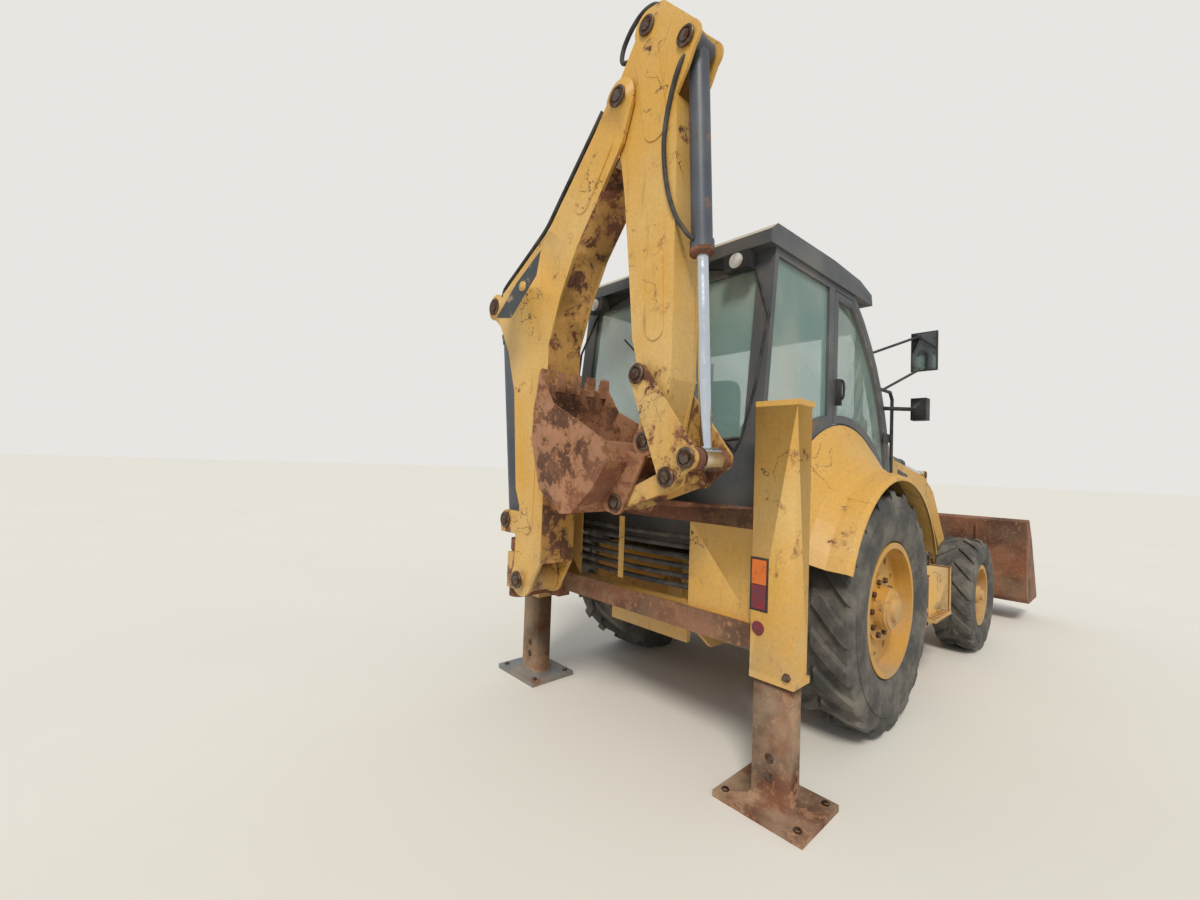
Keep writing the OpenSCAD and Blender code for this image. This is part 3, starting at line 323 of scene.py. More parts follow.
def joined(name, pieces):
    """One mesh out of several, each face with its own piece's material."""
    with bpy.context.temp_override(active_object=pieces[0], object=pieces[0],
                                   selected_editable_objects=pieces, selected_objects=pieces):
        bpy.ops.object.join()
    pieces[0].name = name
    pieces[0].data.name = name
    return pieces[0]


def finish(piece, material, body, crease=None):
    """Material and riding body of a finished piece; crease keeps edges over that angle sharp."""
    piece.data.materials.clear()
    piece.data.materials.append(material)
    if crease is not None:
        piece.data.set_sharp_from_angle(angle=math.radians(crease))
    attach(piece, body)
    return piece


def frame_of(axis):
    """Two unit directions square to an axis and to each other."""
    axis = np.asarray(axis, float) / np.linalg.norm(axis)
    first = np.cross(axis, [0.0, 0.0, 1.0])
    if np.linalg.norm(first) < 1e-3:
        first = np.cross(axis, [0.0, 1.0, 0.0])
    first /= np.linalg.norm(first)
    return axis, first, np.cross(axis, first)


def turned_shape(name, centre, axis, profile, sides=32):
    """A lathe shape: each profile pair (distance along the axis, radius) swept round in a circle
    about the axis."""
    axis, one, two = frame_of(axis)
    a = np.linspace(0, 2 * np.pi, sides, endpoint=False)
    ring = np.cos(a)[:, None] * one + np.sin(a)[:, None] * two
    prof = np.asarray(profile, float)
    points = np.asarray(centre) + prof[:, :1, None] * axis + prof[:, 1:, None] * ring[None]
    return outward(surface(name, points, closed_v=True, caps=True))


def pipe(name, route, radius, sides=12, smooth_steps=6):
    """A round pipe: a Catmull-Rom curve through the route's points, with a circle carried along
    it square to its run."""
    p = np.asarray(route, float)
    ext = np.vstack([2 * p[0] - p[1], p, 2 * p[-1] - p[-2]])
    t = np.linspace(0, 1, smooth_steps, endpoint=False)[:, None]
    a, b, c, d = ext[:-3, None], ext[1:-2, None], ext[2:-1, None], ext[3:, None]
    mid = 0.5 * (2 * b + (c - a) * t + (2 * a - 5 * b + 4 * c - d) * t ** 2
                 + (3 * b - a - 3 * c + d) * t ** 3)
    path = np.vstack([mid.reshape(-1, 3), p[-1:]])
    run = np.gradient(path, axis=0)
    run /= np.linalg.norm(run, axis=1)[:, None]
    side = np.cross(run, [0.13, 0.97, 0.21])
    side /= np.linalg.norm(side, axis=1)[:, None]
    other = np.cross(run, side)
    q = np.linspace(0, 2 * np.pi, sides, endpoint=False)
    circle = np.cos(q)[None, :, None] * side[:, None] + np.sin(q)[None, :, None] * other[:, None]
    points = path[:, None] + radius * circle
    return outward(surface(name, points, closed_v=True, caps=True))


def slab(name, outline, origin, u, v, thick, chamfer=0.0015):
    """A flat plate: an outline in two directions u and v, given thickness along their normal,
    its top edge chamfered."""
    o = np.asarray(outline, float)
    u, v = np.asarray(u, float), np.asarray(v, float)
    n = np.cross(u, v)
    middle = o.mean(axis=0)
    shrink = 1 - chamfer / np.maximum(np.linalg.norm(o - middle, axis=1), 0.01)
    small = middle + (o - middle) * shrink[:, None]
    rings = [(o, 0.0), (o, thick - chamfer), (small, thick)]
    points = np.stack([np.asarray(origin) + r[:, :1] * u + r[:, 1:] * v + h * n for r, h in rings])
    return outward(surface(name, points, closed_v=True, caps=True, smooth=False))


def round_ended(a, b, radius, steps=12):
    """The outline of a long plate with two half-round ends, from point a to point b."""
    a, b = np.asarray(a, float), np.asarray(b, float)
    turn = math.atan2(*(b - a)[::-1])
    half = np.linspace(np.pi / 2, 3 * np.pi / 2, steps)
    one = a + radius * np.stack([np.cos(half + turn), np.sin(half + turn)], -1)
    two = b + radius * np.stack([np.cos(half + turn + np.pi), np.sin(half + turn + np.pi)], -1)
    return np.vstack([one, two])


def hex_heads(name, centres, axis, across_flats, height):
    """Bolt heads: a hexagonal prism with a small chamfer at each centre, all in one mesh."""
    axis, one, two = frame_of(axis)
    a = np.arange(6) * np.pi / 3
    r = across_flats / math.sqrt(3)
    ring = np.cos(a)[:, None] * one + np.sin(a)[:, None] * two
    levels = [(0.0, r), (height * 0.8, r), (height, r * 0.82)]
    head = np.concatenate([ring * q + axis * h for h, q in levels])
    c = np.asarray(centres, float)
    points = (c[:, None] + head[None]).reshape(-1, 3)
    k = np.arange(6)
    after = (k + 1) % 6
    walls = [np.stack([k + 6 * s, after + 6 * s, after + 6 * s + 6, k + 6 * s + 6], -1) for s in (0, 1)]
    faces = []
    for i in range(len(c)):
        base = 18 * i
        faces += [list(w + base) for s in walls for w in s]
        faces += [list(np.arange(12, 18) + base), list(np.arange(5, -1, -1) + base)]
    data = bpy.data.meshes.new(name)
    data.from_pydata(points.tolist(), [], [[int(x) for x in f] for f in faces])
    piece = bpy.data.objects.new(name, data)
    bpy.context.scene.collection.objects.link(piece)
    return outward(piece)


def recoloured(node, materials, pick):
    """A merged copy of a CAD node whose faces are shared out among several finishes by where they lie."""
    data = frame["nodes"][node].data.copy()
    data.name = node + "_dressed"
    work = bmesh.new()
    work.from_mesh(data)
    bmesh.ops.remove_doubles(work, verts=work.verts, dist=2e-5)
    work.to_mesh(data)
    work.free()
    count = len(data.polygons)
    centres, normals = np.empty(count * 3), np.empty(count * 3)
    data.polygons.foreach_get("center", centres)
    data.polygons.foreach_get("normal", normals)
    data.materials.clear()
    for material in materials:
        data.materials.append(material)
    chosen = pick(centres.reshape(-1, 3), normals.reshape(-1, 3))
    data.polygons.foreach_set("material_index", chosen.astype(np.int32))
    data.polygons.foreach_set("use_smooth", np.ones(count, bool))
    data.set_sharp_from_angle(angle=math.radians(32))
    piece = bpy.data.objects.new(node + "_dressed", data)
    bpy.context.scene.collection.objects.link(piece)
    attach(piece, body_of(frame["nodes"][node])[0])
    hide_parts(node)
    return piece


# Boom
# Two welded side plates, closed along the front by a band that has lost much of its paint.
# Pins with ringed heads go through it, and doubling plates are welded on its sides.
HOE_X, HOE_Y = -2.660, 0.675


def hoe(reach, height, side=0.0):
    """A point of the hoe from its reach and height in millimetres and its distance from the
    hoe's plane in metres."""
    return np.array([HOE_X + side, HOE_Y - reach / 1000.0, height / 1000.0])


recoloured("boom", [yellow, worn_belly],
           lambda c, n: (np.abs(c[:, 0] - HOE_X) < 0.0995) & (np.abs(n[:, 0]) < 0.5))

pin_steel = Finish("pin_steel", 0.5, 0.85)
pin_steel.two_tone(tone(112, 100, 90), tone(92, 62, 44), 30.0, 6.0, 0.4, 0.6)
pin_steel.relief(pin_steel.noise(120.0, 3.0), 0.3)
pin_steel = pin_steel.mat

# Columns: reach, height, distance of the head from the plane, head radius, body
PIN_HEADS = [
    (195, 790, 0.150, 0.052, "kingpost_body"), (-35, 1120, 0.098, 0.050, "kingpost_body"),
    (-220, 2505, 0.132, 0.056, "boom_body"), (900, 3345, 0.132, 0.054, "boom_body"),
    (1055, 3635, 0.098, 0.048, "stick_body"),
    (1300, 3430, 0.100, 0.048, "stick_body"), (1105, 1910, 0.143, 0.046, "guide_links_body"),
    (1405, 1525, 0.143, 0.046, "guide_links_body"), (1300, 1440, 0.143, 0.046, "guide_links_body"),
    (1140, 1600, 0.116, 0.046, "hoe_bucket_body"), (963, 1302, 0.116, 0.044, "hoe_bucket_body"),
]
HEAD = np.array([(0.0, 1.0), (0.006, 1.0), (0.009, 0.93), (0.009, 0.72),
                 (0.004, 0.68), (0.004, 0.56), (0.013, 0.52), (0.015, 0.30)])
for i, (reach, height, off, radius, body) in enumerate(PIN_HEADS):
    both = [turned_shape(f"head_{i}_{k}", hoe(reach, height, s * off), (s, 0, 0), HEAD * [1, radius], 28)
            for k, s in enumerate((-1, 1))]
    finish(joined(f"pin_heads_{i}", both), pin_steel, body, 30)

UP = (0, 0, 1)
PLATE, PANEL = 0.006, 0.0015
# Columns: two ends of a doubling plate, its radius, how far out the side plate stands, body
PATCHES = [
    ((640, 2900), (800, 3130), 62, 0.120, "boom_body"),
    ((232, 1120), (240, 1700), 60, 0.120, "boom_body"),
    ((1150, 2450), (1165, 2120), 52, 0.092, "stick_body"),
    ((1060, 3480), (1130, 3100), 70, 0.092, "stick_body"),
]
for i, (a, b, radius, off, body) in enumerate(PATCHES):
    for s in (-1, 1):
        outline = round_ended(a, b, radius, 14)
        flat = np.stack([-outline[:, 0] / 1000.0, outline[:, 1] / 1000.0], -1)
        u = (0, 1, 0)
        if s < 0:
            flat, u = flat[::-1] * [-1, 1], (0, -1, 0)
        plate = slab(f"doubling_plate_{i}_{'left' if s > 0 else 'right'}", flat, (HOE_X + s * off, HOE_Y, 0),
                     u, UP, PLATE, 0.002)
        finish(plate, yellow, body)

# A blank dark panel near the knee, with worn edges, on both sides of the boom.
panel_grey = Finish("panel_grey", 0.55)
panel_grey.two_tone(tone(62, 66, 70), tone(150, 132, 104), 9.0, 10.0, 0.56, 0.64, 0.7)
panel_grey.relief(panel_grey.noise(60.0, 4.0), 0.2)
panel_grey = panel_grey.mat
for s in (-1, 1):
    panel = np.array([(-205, 2432), (-30, 2398), (232, 2606), (268, 2748), (20, 2612)], float)
    flat = np.stack([-panel[:, 0] / 1000.0, panel[:, 1] / 1000.0], -1)
    u = (0, 1, 0)
    if s < 0:
        flat, u = flat[::-1] * [-1, 1], (0, -1, 0)
    blank = slab(f"boom_panel_{'left' if s > 0 else 'right'}", flat, (HOE_X + s * 0.1200, HOE_Y, 0),
                 u, UP, PANEL, 0.0005)
    finish(blank, panel_grey, "boom_body")


# Rams
# Dark painted barrels with a rusted gland ring, and chromed rods.
barrel_paint = weathered("barrel_paint", tone(54, 66, 80), tone(76, 88, 102), 0.04, 0.1, 0.35, 0.45, 0.2)
dress(barrel_paint, "boom_barrel", "stick_barrel", "bucket_barrel", "tilt_barrels", "lift_barrels")
chrome = Finish("rod_chrome", 0.16, 1.0)
dull = chrome.band(chrome.noise(7.0, 6.0, 0.6, (1, 1, 0.3)), 0.55, 0.75, 0.0, 0.35)
chrome.colour(chrome.mix(dull, tone(228, 234, 240), tone(160, 146, 130)))
chrome.rough(chrome.band(chrome.noise(26.0, 4.0), 0.3, 0.7, 0.12, 0.3))
chrome = chrome.mat
dress(chrome, "boom_rod", "stick_rod", "bucket_rod", "tilt_rods", "lift_rods")

# Columns: base pin, eye pin, distance of the gland from the base pin in metres, gland radius, body
GLANDS = [
    ((-35, 1120), (-220, 2505), 1.205, 0.068, "boom_barrel_body"),
    ((95, 2570), (1055, 3635), 0.735, 0.060, "stick_barrel_body"),
    ((1300, 3430), (1405, 1525), 0.960, 0.058, "bucket_barrel_body"),
]
for i, (base, eye, along, radius, body) in enumerate(GLANDS):
    start, end = hoe(*base), hoe(*eye)
    way = (end - start) / np.linalg.norm(end - start)
    ring = [(0.0, radius - 0.006), (0.004, radius), (0.022, radius),
            (0.026, radius - 0.005), (0.030, radius - 0.014)]
    gland = turned_shape(f"gland_ring_{i}", start + way * along, way, ring, 36)
    finish(gland, rusted, body, 30)

# Thick rusty spacers on the pin where the bucket ram meets the links.
SPACER = [(0.0, 0.046), (0.003, 0.050), (0.048, 0.050), (0.051, 0.046)]
spacers = [turned_shape(f"spacer_{k}", hoe(1405, 1525, s * 0.064), (s, 0, 0), SPACER, 32)
           for k, s in enumerate((-1, 1))]
finish(joined("rod_pin_spacers", spacers), dark_rust, "guide_links_body", 30)


# Hoe hoses
# Black rubber hoses lie along the boom's back edge, loop at the stick's head and
# bow beside the bucket ram to its gland; each rides on one part.
hose_rubber = Finish("hose_rubber", 0.7)
hose_rubber.two_tone(tone(34, 34, 36), tone(78, 72, 64), 12.0, 6.0, 0.35, 0.7)
hose_rubber.relief(hose_rubber.noise(180.0, 2.0), 0.25, 0.001)
hose_rubber = hose_rubber.mat
# Columns: name, body, radius, route as reach, height and distance from the plane. The boom's hoses
# lie on its back edge, beside the side plates.
BESIDE = 0.1115
HOSES = [
    ("ram_hose_near", "bucket_barrel_body", 0.011, [
        (1345, 2500, -0.052), (1310, 2545, -0.075), (1262, 2640, -0.098), (1215, 2800, -0.104),
        (1195, 3000, -0.104), (1225, 3180, -0.104), (1275, 3320, -0.100), (1300, 3380, -0.062)]),
    ("ram_hose_far", "bucket_barrel_body", 0.011, [
        (1345, 2500, 0.052), (1300, 2600, 0.085), (1240, 2800, 0.104),
        (1220, 3050, 0.104), (1255, 3250, 0.102), (1300, 3390, 0.062)]),
    ("boom_hose_left", "boom_body", 0.012, [
        (-150, 2560, BESIDE), (-110, 2606, BESIDE), (40, 2694, BESIDE), (200, 2784, BESIDE),
        (330, 2858, BESIDE), (440, 2970, BESIDE), (545, 3078, BESIDE), (640, 3176, BESIDE),
        (712, 3252, BESIDE), (780, 3338, BESIDE)]),
    ("boom_hose_right", "boom_body", 0.012, [
        (-150, 2560, -BESIDE), (-120, 2612, -BESIDE), (30, 2700, -BESIDE), (190, 2792, -BESIDE),
        (315, 2872, -BESIDE), (425, 2984, -BESIDE), (530, 3092, -BESIDE), (625, 3190, -BESIDE),
        (700, 3268, -BESIDE), (770, 3342, -BESIDE)]),
    ("stick_hose_left", "stick_body", 0.012, [
        (925, 3540, 0.068), (880, 3560, 0.072), (885, 3620, 0.074), (935, 3690, 0.074),
        (1000, 3730, 0.074), (1070, 3722, 0.074), (1110, 3680, 0.070)]),
    ("stick_hose_right", "stick_body", 0.012, [
        (925, 3545, -0.068), (868, 3570, -0.074), (875, 3635, -0.076), (930, 3705, -0.076),
        (1005, 3744, -0.076), (1085, 3734, -0.076), (1135, 3686, -0.072)]),
]
for name, body, radius, route in HOSES:
    finish(pipe(name, [hoe(*p) for p in route], radius, 10, 7), hose_rubber, body)
recoloured("hose_bundle", [hose_rubber, yellow],
           lambda c, n: (c[:, 0] < -2.384) & (c[:, 1] > 0.018) & (c[:, 1] < 0.062))


# Buckets
# Bent wear plate, bare and rusted all over, with a cutting edge and bolted teeth.
bucket_rust = weathered("bucket_rust", tone(176, 124, 94), tone(154, 108, 84), 0.46, 1.0, 0.35, 0.72)
dress(bucket_rust, "hoe_bucket")
# The loader bucket is rusted like the hoe bucket, but its rust is a darker copy: painted shade for the
# bucket's shaded side.
loader_rust_painted_shade = weathered("loader_rust_painted_shade", tone(118, 82, 62), tone(102, 72, 56), 0.80, 1.0, 0.35, 0.72)
dress(loader_rust_painted_shade, "loader_bucket")
tooth_bolts = [hoe(486, 1895, x) for x in (-0.220, -0.110, 0.0, 0.110, 0.220)]
finish(hex_heads("tooth_bolts", tooth_bolts, (0, 1, 0.15), 0.030, 0.014), pin_steel,
       "hoe_bucket_body")
edge_bolts = [(2.84, y, 0.2155) for y in np.linspace(-1.1, 1.1, 9)]
finish(hex_heads("edge_bolts", edge_bolts, UP, 0.034, 0.010), pin_steel,
       "loader_bucket_body")
# The ribs take the loader bucket's darker rust, with its painted shade.
for k, y in enumerate((-0.80, -0.28, 0.28, 0.80)):
    rib = slab(f"bucket_rib_{k}", [(-2.214, 0.50), (-2.214, 1.00), (-2.180, 1.00), (-2.180, 0.50)],
               (0, y, 0), (-1, 0, 0), UP, 0.02, 0.002)
    finish(rib, loader_rust_painted_shade, "loader_bucket_body")


# Stabilisers
# The right leg and pad are orange-brown with rust, the left leg is duller and its
# pad is dark steel. Low on each leg are two pin holes, and bolts stand on its pad.
SIDES = (("left", 1), ("right", -1))
LEG_FACE, LEG_Y = -2.3865, 0.915
LEG_HOLE = [(0.0, 0.020), (0.0004, 0.0215), (0.0007, 0.017)]
pad_steel = weathered("pad_steel", tone(98, 106, 112), tone(128, 134, 138), 0.12, 0.2, 0.4, 0.6, 0.3)
leg_dull = weathered("leg_dull", tone(126, 104, 84), tone(112, 96, 82), 0.34, 0.8, 0.6, 0.75)
recoloured("leg_left", [leg_dull, pad_steel], lambda c, n: c[:, 2] < 0.0305)
recoloured("leg_right", [leg_rust, leg_rust], lambda c, n: c[:, 2] < 0.0305)
for name, s in SIDES:
    body = f"leg_{name}_body"
    holes = [turned_shape(f"leg_hole_{k}", (LEG_FACE, s * LEG_Y, z), (-1, 0, 0), LEG_HOLE, 20)
             for k, z in enumerate((0.14, 0.22))]
    finish(joined(f"leg_keepers_{name}", holes), pin_steel, body, 30)
    corners = [(-2.33 + dx, s * LEG_Y + dy, 0.030) for dx in (-0.13, 0.13) for dy in (-0.17, 0.17)]
    finish(hex_heads(f"pad_bolts_{name}", corners, UP, 0.03, 0.012), pin_steel, body)


# Rear frame
# Two guide rails across with rubbed faces, box housings for the stabilisers with a
# bolt low on each, and tail lamps with a reflector below.
RAIL_END, RAIL_BACK = 0.812, -2.3895
rail_face = weathered("rail_face", tone(92, 74, 60), tone(112, 84, 62), 0.66, 0.8, 0.3, 0.5)


def rear_pick(c, n):
    """The rubbed faces: the rear side of both rails, and the top of the upper one."""
    between = np.abs(c[:, 1]) < RAIL_END
    rails = between & (c[:, 0] < RAIL_BACK)
    top = between & (c[:, 2] > 1.304) & (c[:, 0] < -2.28)
    upper = rails & (c[:, 2] > 1.205) & (c[:, 2] < 1.31) | top
    lower = rails & (c[:, 2] > 0.655) & (c[:, 2] < 0.785)
    return upper | lower


recoloured("rear_frame", [yellow, rail_face], rear_pick)
plate_bolts = [(-2.402, s * 0.995, 0.60) for s in (-1, 1)]
finish(hex_heads("housing_bolts", plate_bolts, (-1, 0, 0), 0.032, 0.014), pin_steel,
       "chassis")

lamp_orange = Finish("lamp_orange", 0.25)
lamp_orange.two_tone(tone(206, 104, 30), tone(160, 84, 36), 20.0, 5.0, 0.5, 0.7)
lamp_orange.relief(lamp_orange.cells(140.0), 0.3, 0.001)
lamp_orange = lamp_orange.mat
lamp_red = Finish("lamp_red", 0.25)
lamp_red.two_tone(tone(122, 30, 42), tone(86, 48, 58), 18.0, 5.0, 0.45, 0.7)
lamp_red.relief(lamp_red.cells(140.0), 0.3, 0.001)
lamp_red = lamp_red.mat
black_plastic = Finish("black_plastic", 0.55)
black_plastic.two_tone(tone(34, 35, 37), tone(62, 60, 56), 8.0, 6.0, 0.4, 0.7)
black_plastic.relief(black_plastic.noise(300.0, 2.0), 0.15, 0.001)
black_plastic = black_plastic.mat


def lamp_pick(c, n):
    """Tail lamps orange above and red below; the other lamps' housings black."""
    tail = c[:, 0] < -2.35
    return np.where(tail & (c[:, 2] > 0.968), 1, np.where(tail, 2, 0))


recoloured("lamps", [black_plastic, lamp_orange, lamp_red], lamp_pick)
for name, s in SIDES:
    lamp_box = np.array([(0.808, 0.850), (0.898, 0.850), (0.898, 1.090), (0.808, 1.090)])
    if s < 0:
        lamp_box = lamp_box[::-1] * [-1, 1]
    back = slab(f"tail_lamp_base_{name}", lamp_box, (-2.4012, 0, 0), (0, 1, 0), UP, 0.001, 0.0004)
    finish(back, black_plastic, "chassis")
    spot = turned_shape(f"reflector_{name}", (-2.4005, s * 0.853, 0.775), (-1, 0, 0),
                        [(0.0, 0.030), (0.004, 0.030), (0.006, 0.026), (0.006, 0.001)], 28)
    finish(spot, lamp_red, "chassis", 30)


# Tyres
# Worn rubber with V lugs, a bulged wall and a bead ring. Each wheel is one surface:
# a section carried round the axle, raised where a lug stands.
rubber = Finish("tyre_rubber", 0.85)
dusty = rubber.band(rubber.noise(5.0, 8.0, 0.65), 0.38, 0.66, 0.15, 0.85)
rubber.colour(rubber.mix(dusty, tone(56, 56, 56), tone(122, 116, 106)))
fine_grain = rubber.sum("MULTIPLY", rubber.noise(220.0, 2.0), 0.4)
rubber.relief(rubber.sum("ADD", rubber.noise(40.0, 8.0, 0.7), fine_grain), 0.5)
rubber = rubber.mat


def tyre_surface(name, centre, side, diameter, width, rim, lugs):
    """Round the axle goes a section of rows; the rows near the tread rise by the lug's height where
    the angle, shifted in proportion to the distance from the middle, lies on a lug."""
    r, b, h = diameter / 2, rim / 2 - 0.0195, width / 2
    wall = r - b
    deep = 0.045 * r
    base = r - deep
    # Columns: place across, radius, share of the lug's height
    half = np.array([
        (h - 0.052, b, 0), (h - 0.046, b + 0.012, 0), (h - 0.046, b + 0.026, 0), (h - 0.030, b + 0.034, 0),
        (h - 0.012, b + 0.22 * wall, 0), (h - 0.003, b + 0.42 * wall, 0), (h - 0.001, b + 0.56 * wall, 0),
        (h - 0.004, b + 0.66 * wall, 0), (h - 0.010, r - 0.16 * r, 0), (h - 0.011, r - 0.115 * r, 0.25),
        (h - 0.016, r - 0.085 * r, 0.8), (h - 0.030, r - 0.055 * r, 1), (h - 0.046, r - 0.050 * r, 1),
        (h * 0.45, base - 0.001, 1), (0.030, base, 1), (0.014, base, 1), (0.010, base, 0)])
    rows = np.vstack([half, [(0.0, base, 0)], half[::-1] * [-1, 1, 1]])
    inner = np.array([(-(h - 0.06), b, 0), (0.0, b, 0), (h - 0.06, b, 0)])
    rows = np.vstack([rows, inner])
    # One lug and the gap after it, as shares of the lug's pitch, and the height at each step
    steps = np.array([0.0, 0.03, 0.05, 0.14, 0.24, 0.34, 0.43, 0.45, 0.48, 0.56, 0.66, 0.76, 0.86, 0.95])
    raised = np.interp(steps, [0.0, 0.03, 0.05, 0.43, 0.45, 0.48, 1.0], [0.0, 0.15, 1.0, 1.0, 0.15, 0.0, 0.0])
    angle = (np.arange(lugs)[:, None] + steps[None]).ravel() * 2 * np.pi / lugs
    up = np.tile(raised, lugs)
    shear = np.minimum(np.abs(rows[:, 0]) / h, 0.93) * 1.05 * 2 * np.pi / lugs
    crown = 1.0 - 0.16 * (np.abs(rows[:, 0]) / h) ** 3
    a = angle[:, None] + shear[None] - np.pi / 2
    radius = rows[None, :, 1] + deep * crown[None] * rows[None, :, 2] * up[:, None]
    radius = np.minimum(radius, r)
    wobble = 0.0012 * np.sin(7 * a + 3 * rows[None, :, 0] * 20)
    radius = np.where(rows[None, :, 2] > 0, radius + np.minimum(wobble, 0), radius)
    along = np.broadcast_to(side * rows[None, :, 0], a.shape)
    points = np.stack([radius * np.cos(a), along, radius * np.sin(a)], -1) + np.asarray(centre)
    return outward(surface(name, points, closed_u=True, closed_v=True))


# Columns: axle, left wheel's centre, tyre diameter, width, rim and lugs, then the disc's outer face
# from the wheel's middle, the drive cover's radius, the nut circle and the nuts
AXLES = [
    ("rear", (-1.21, 0.85, 0.70), 1.40, 0.42, 0.77, 20, 0.1543, 0.120, 0.160, 10),
    ("front", (0.95, 0.93, 0.475), 0.95, 0.31, 0.51, 18, 0.0843, 0.076, 0.104, 8),
]
for axle, centre, diameter, width, rim, lugs, *_ in AXLES:
    for name, s in SIDES:
        node, middle = f"{axle}_tyre_{name}", np.multiply(centre, (1, s, 1))
        lugged = tyre_surface(node + "_lugged", middle, s, diameter, width, rim, lugs)
        piece = finish(lugged, rubber, f"{axle}_wheel_{name}", 38)
        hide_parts(node)

# Hubs with a drive cover and a ring of wheel nuts on each disc.
for axle, centre, *_, face, cover, circle, nuts in AXLES:
    shape = [(0.0, cover), (0.020, cover), (0.026, cover * 0.94), (0.034, cover * 0.92),
             (0.038, cover * 0.60), (0.058, cover * 0.56), (0.062, cover * 0.50), (0.064, cover * 0.02)]
    a = np.arange(nuts) * 2 * np.pi / nuts
    for name, s in SIDES:
        body, axis = f"{axle}_wheel_{name}", (0, s, 0)
        at = np.multiply(centre, (1, s, 1)) + [0, s * face, 0]
        finish(turned_shape(body + "_cover", at, axis, shape, 40), rim_yellow, body, 28)
        ring = at + np.stack([circle * np.cos(a), -s * 0.038 * np.ones(nuts), circle * np.sin(a)], -1)
        finish(hex_heads(body + "_nuts", ring, axis, 0.030, 0.020), pin_steel, body)


# Loader
# Two bent arms on towers, with a lever pair and links that tip the bucket; the
# rams are dark, the pins have ringed heads, and a blank panel sits on each arm.
REAR_AXLE = 1210.0


def side_point(x, z, y=0.0):
    """A point given by millimetres ahead of the rear axle and above the ground, and by metres
    from the middle."""
    return np.array([(x - REAR_AXLE) / 1000.0, y, z / 1000.0])


# Columns: X, height, distance of the head from the middle, head radius, body
LOADER_HEADS = [
    (1060, 1560, 0.636, 0.052, "chassis"), (3330, 330, 0.592, 0.046, "arms"),
    (2160, 1085, 0.592, 0.046, "arms"),
    (2740, 548, 0.487, 0.040, "levers"), (2700, 1500, 0.487, 0.036, "levers"),
]
for i, (x, z, off, radius, body) in enumerate(LOADER_HEADS):
    both = [turned_shape(f"loader_head_{i}_{k}", side_point(x, z, s * off), (0, s, 0),
                         HEAD * [0.5, radius], 26) for k, s in enumerate((-1, 1))]
    finish(joined(f"loader_pin_heads_{i}", both), pin_steel, body, 30)
for s, name in ((1, "left"), (-1, "right")):
    plate = np.array([(1500, 1420), (1760, 1372), (1760, 1492), (1500, 1540)], float)
    flat = np.stack([(plate[:, 0] - REAR_AXLE) / 1000.0, plate[:, 1] / 1000.0], -1)
    u = (1, 0, 0)
    if s > 0:
        flat, u = flat * [-1, 1], (-1, 0, 0)
    blank = slab(f"arm_panel_{name}", flat if s < 0 else flat[::-1], (0, s * 0.5900, 0), u, UP, PANEL, 0.0005)
    finish(blank, panel_grey, "arms")


# Cab
# A welded frame of dark grey posts with bonded, slightly green glass all round,
# a pale sheet roof and a yellow visor over the windscreen.
cab_grey = weathered("cab_grey", tone(66, 76, 84), tone(92, 98, 100), 0.05, 0.2, 0.5, 0.5, 0.15)
roof_pale = weathered("roof_pale", tone(196, 188, 170), tone(176, 166, 146), 0.08, 0.3, 0.2, 0.6, 0.2)
dress(cab_grey, "cab_frame")
recoloured("cab_roof", [roof_pale, yellow, cab_grey],
           lambda c, n: np.where(c[:, 0] > -0.792, 1, np.where(n[:, 2] < 0.35, 2, 0)))

cab_glazing = Finish("cab_glazing", 0.06)
dirt = cab_glazing.band(cab_glazing.noise(2.4, 6.0, 0.55, (1, 1, 0.6)), 0.30, 0.80)
cab_glazing.colour(cab_glazing.mix(dirt, tone(158, 200, 194), tone(192, 200, 188)))
cab_glazing.rough(cab_glazing.band(dirt, 0.0, 1.0, 0.03, 0.16))
cab_glazing.links.new(cab_glazing.band(dirt, 0.0, 1.0, 0.30, 0.42), cab_glazing.shader.inputs["Alpha"])
cab_glazing = cab_glazing.mat
dress(cab_glazing, "cab_glass")


def door_pick(c, n):
    """Glass for the faces of the pane, black where the handle stands out, else paint."""
    side_of = np.abs(c[:, 1])
    pane = (side_of > 0.7040) & (side_of < 0.7120) & (np.abs(n[:, 1]) > 0.9)
    return np.where(side_of > 0.7303, 2, np.where(pane, 1, 0))


for name, s in SIDES:
    recoloured(f"door_{name}", [cab_grey, cab_glazing, black_plastic], door_pick)
    body = f"door_{name}_body"
    pull = [(-1.333, s * y, z) for y, z in ((0.738, 1.93), (0.772, 1.94), (0.780, 1.97),
                                            (0.780, 2.02), (0.772, 2.05), (0.738, 2.06))]
    lever = pipe(f"door_pull_{name}", pull, 0.007, 12, 5)
    finish(lever, black_plastic, body)

# Roof: a grab handle near each rear corner.
for name, s in SIDES:
    grip = [(x, s * 0.60, z) for x, z in ((-2.05, 2.742), (-2.05, 2.762), (-2.03, 2.775),
                                          (-1.90, 2.782), (-1.87, 2.776), (-1.86, 2.760))]
    handle = pipe(f"roof_handle_{name}", grip, 0.010, 14, 6)
    finish(handle, cab_grey, "chassis")

# Rear window: rubber seal and a wiper parked on its left.
WALL_FOOT = 1.62


def on_rear_wall(y, z, out=0.0):
    """A point of the cab's rear wall, whose upper part leans forward with height."""
    lean = max(z - WALL_FOOT, 0.0) * 0.115 / 1.03
    return (-2.210 + lean - out, y, z)


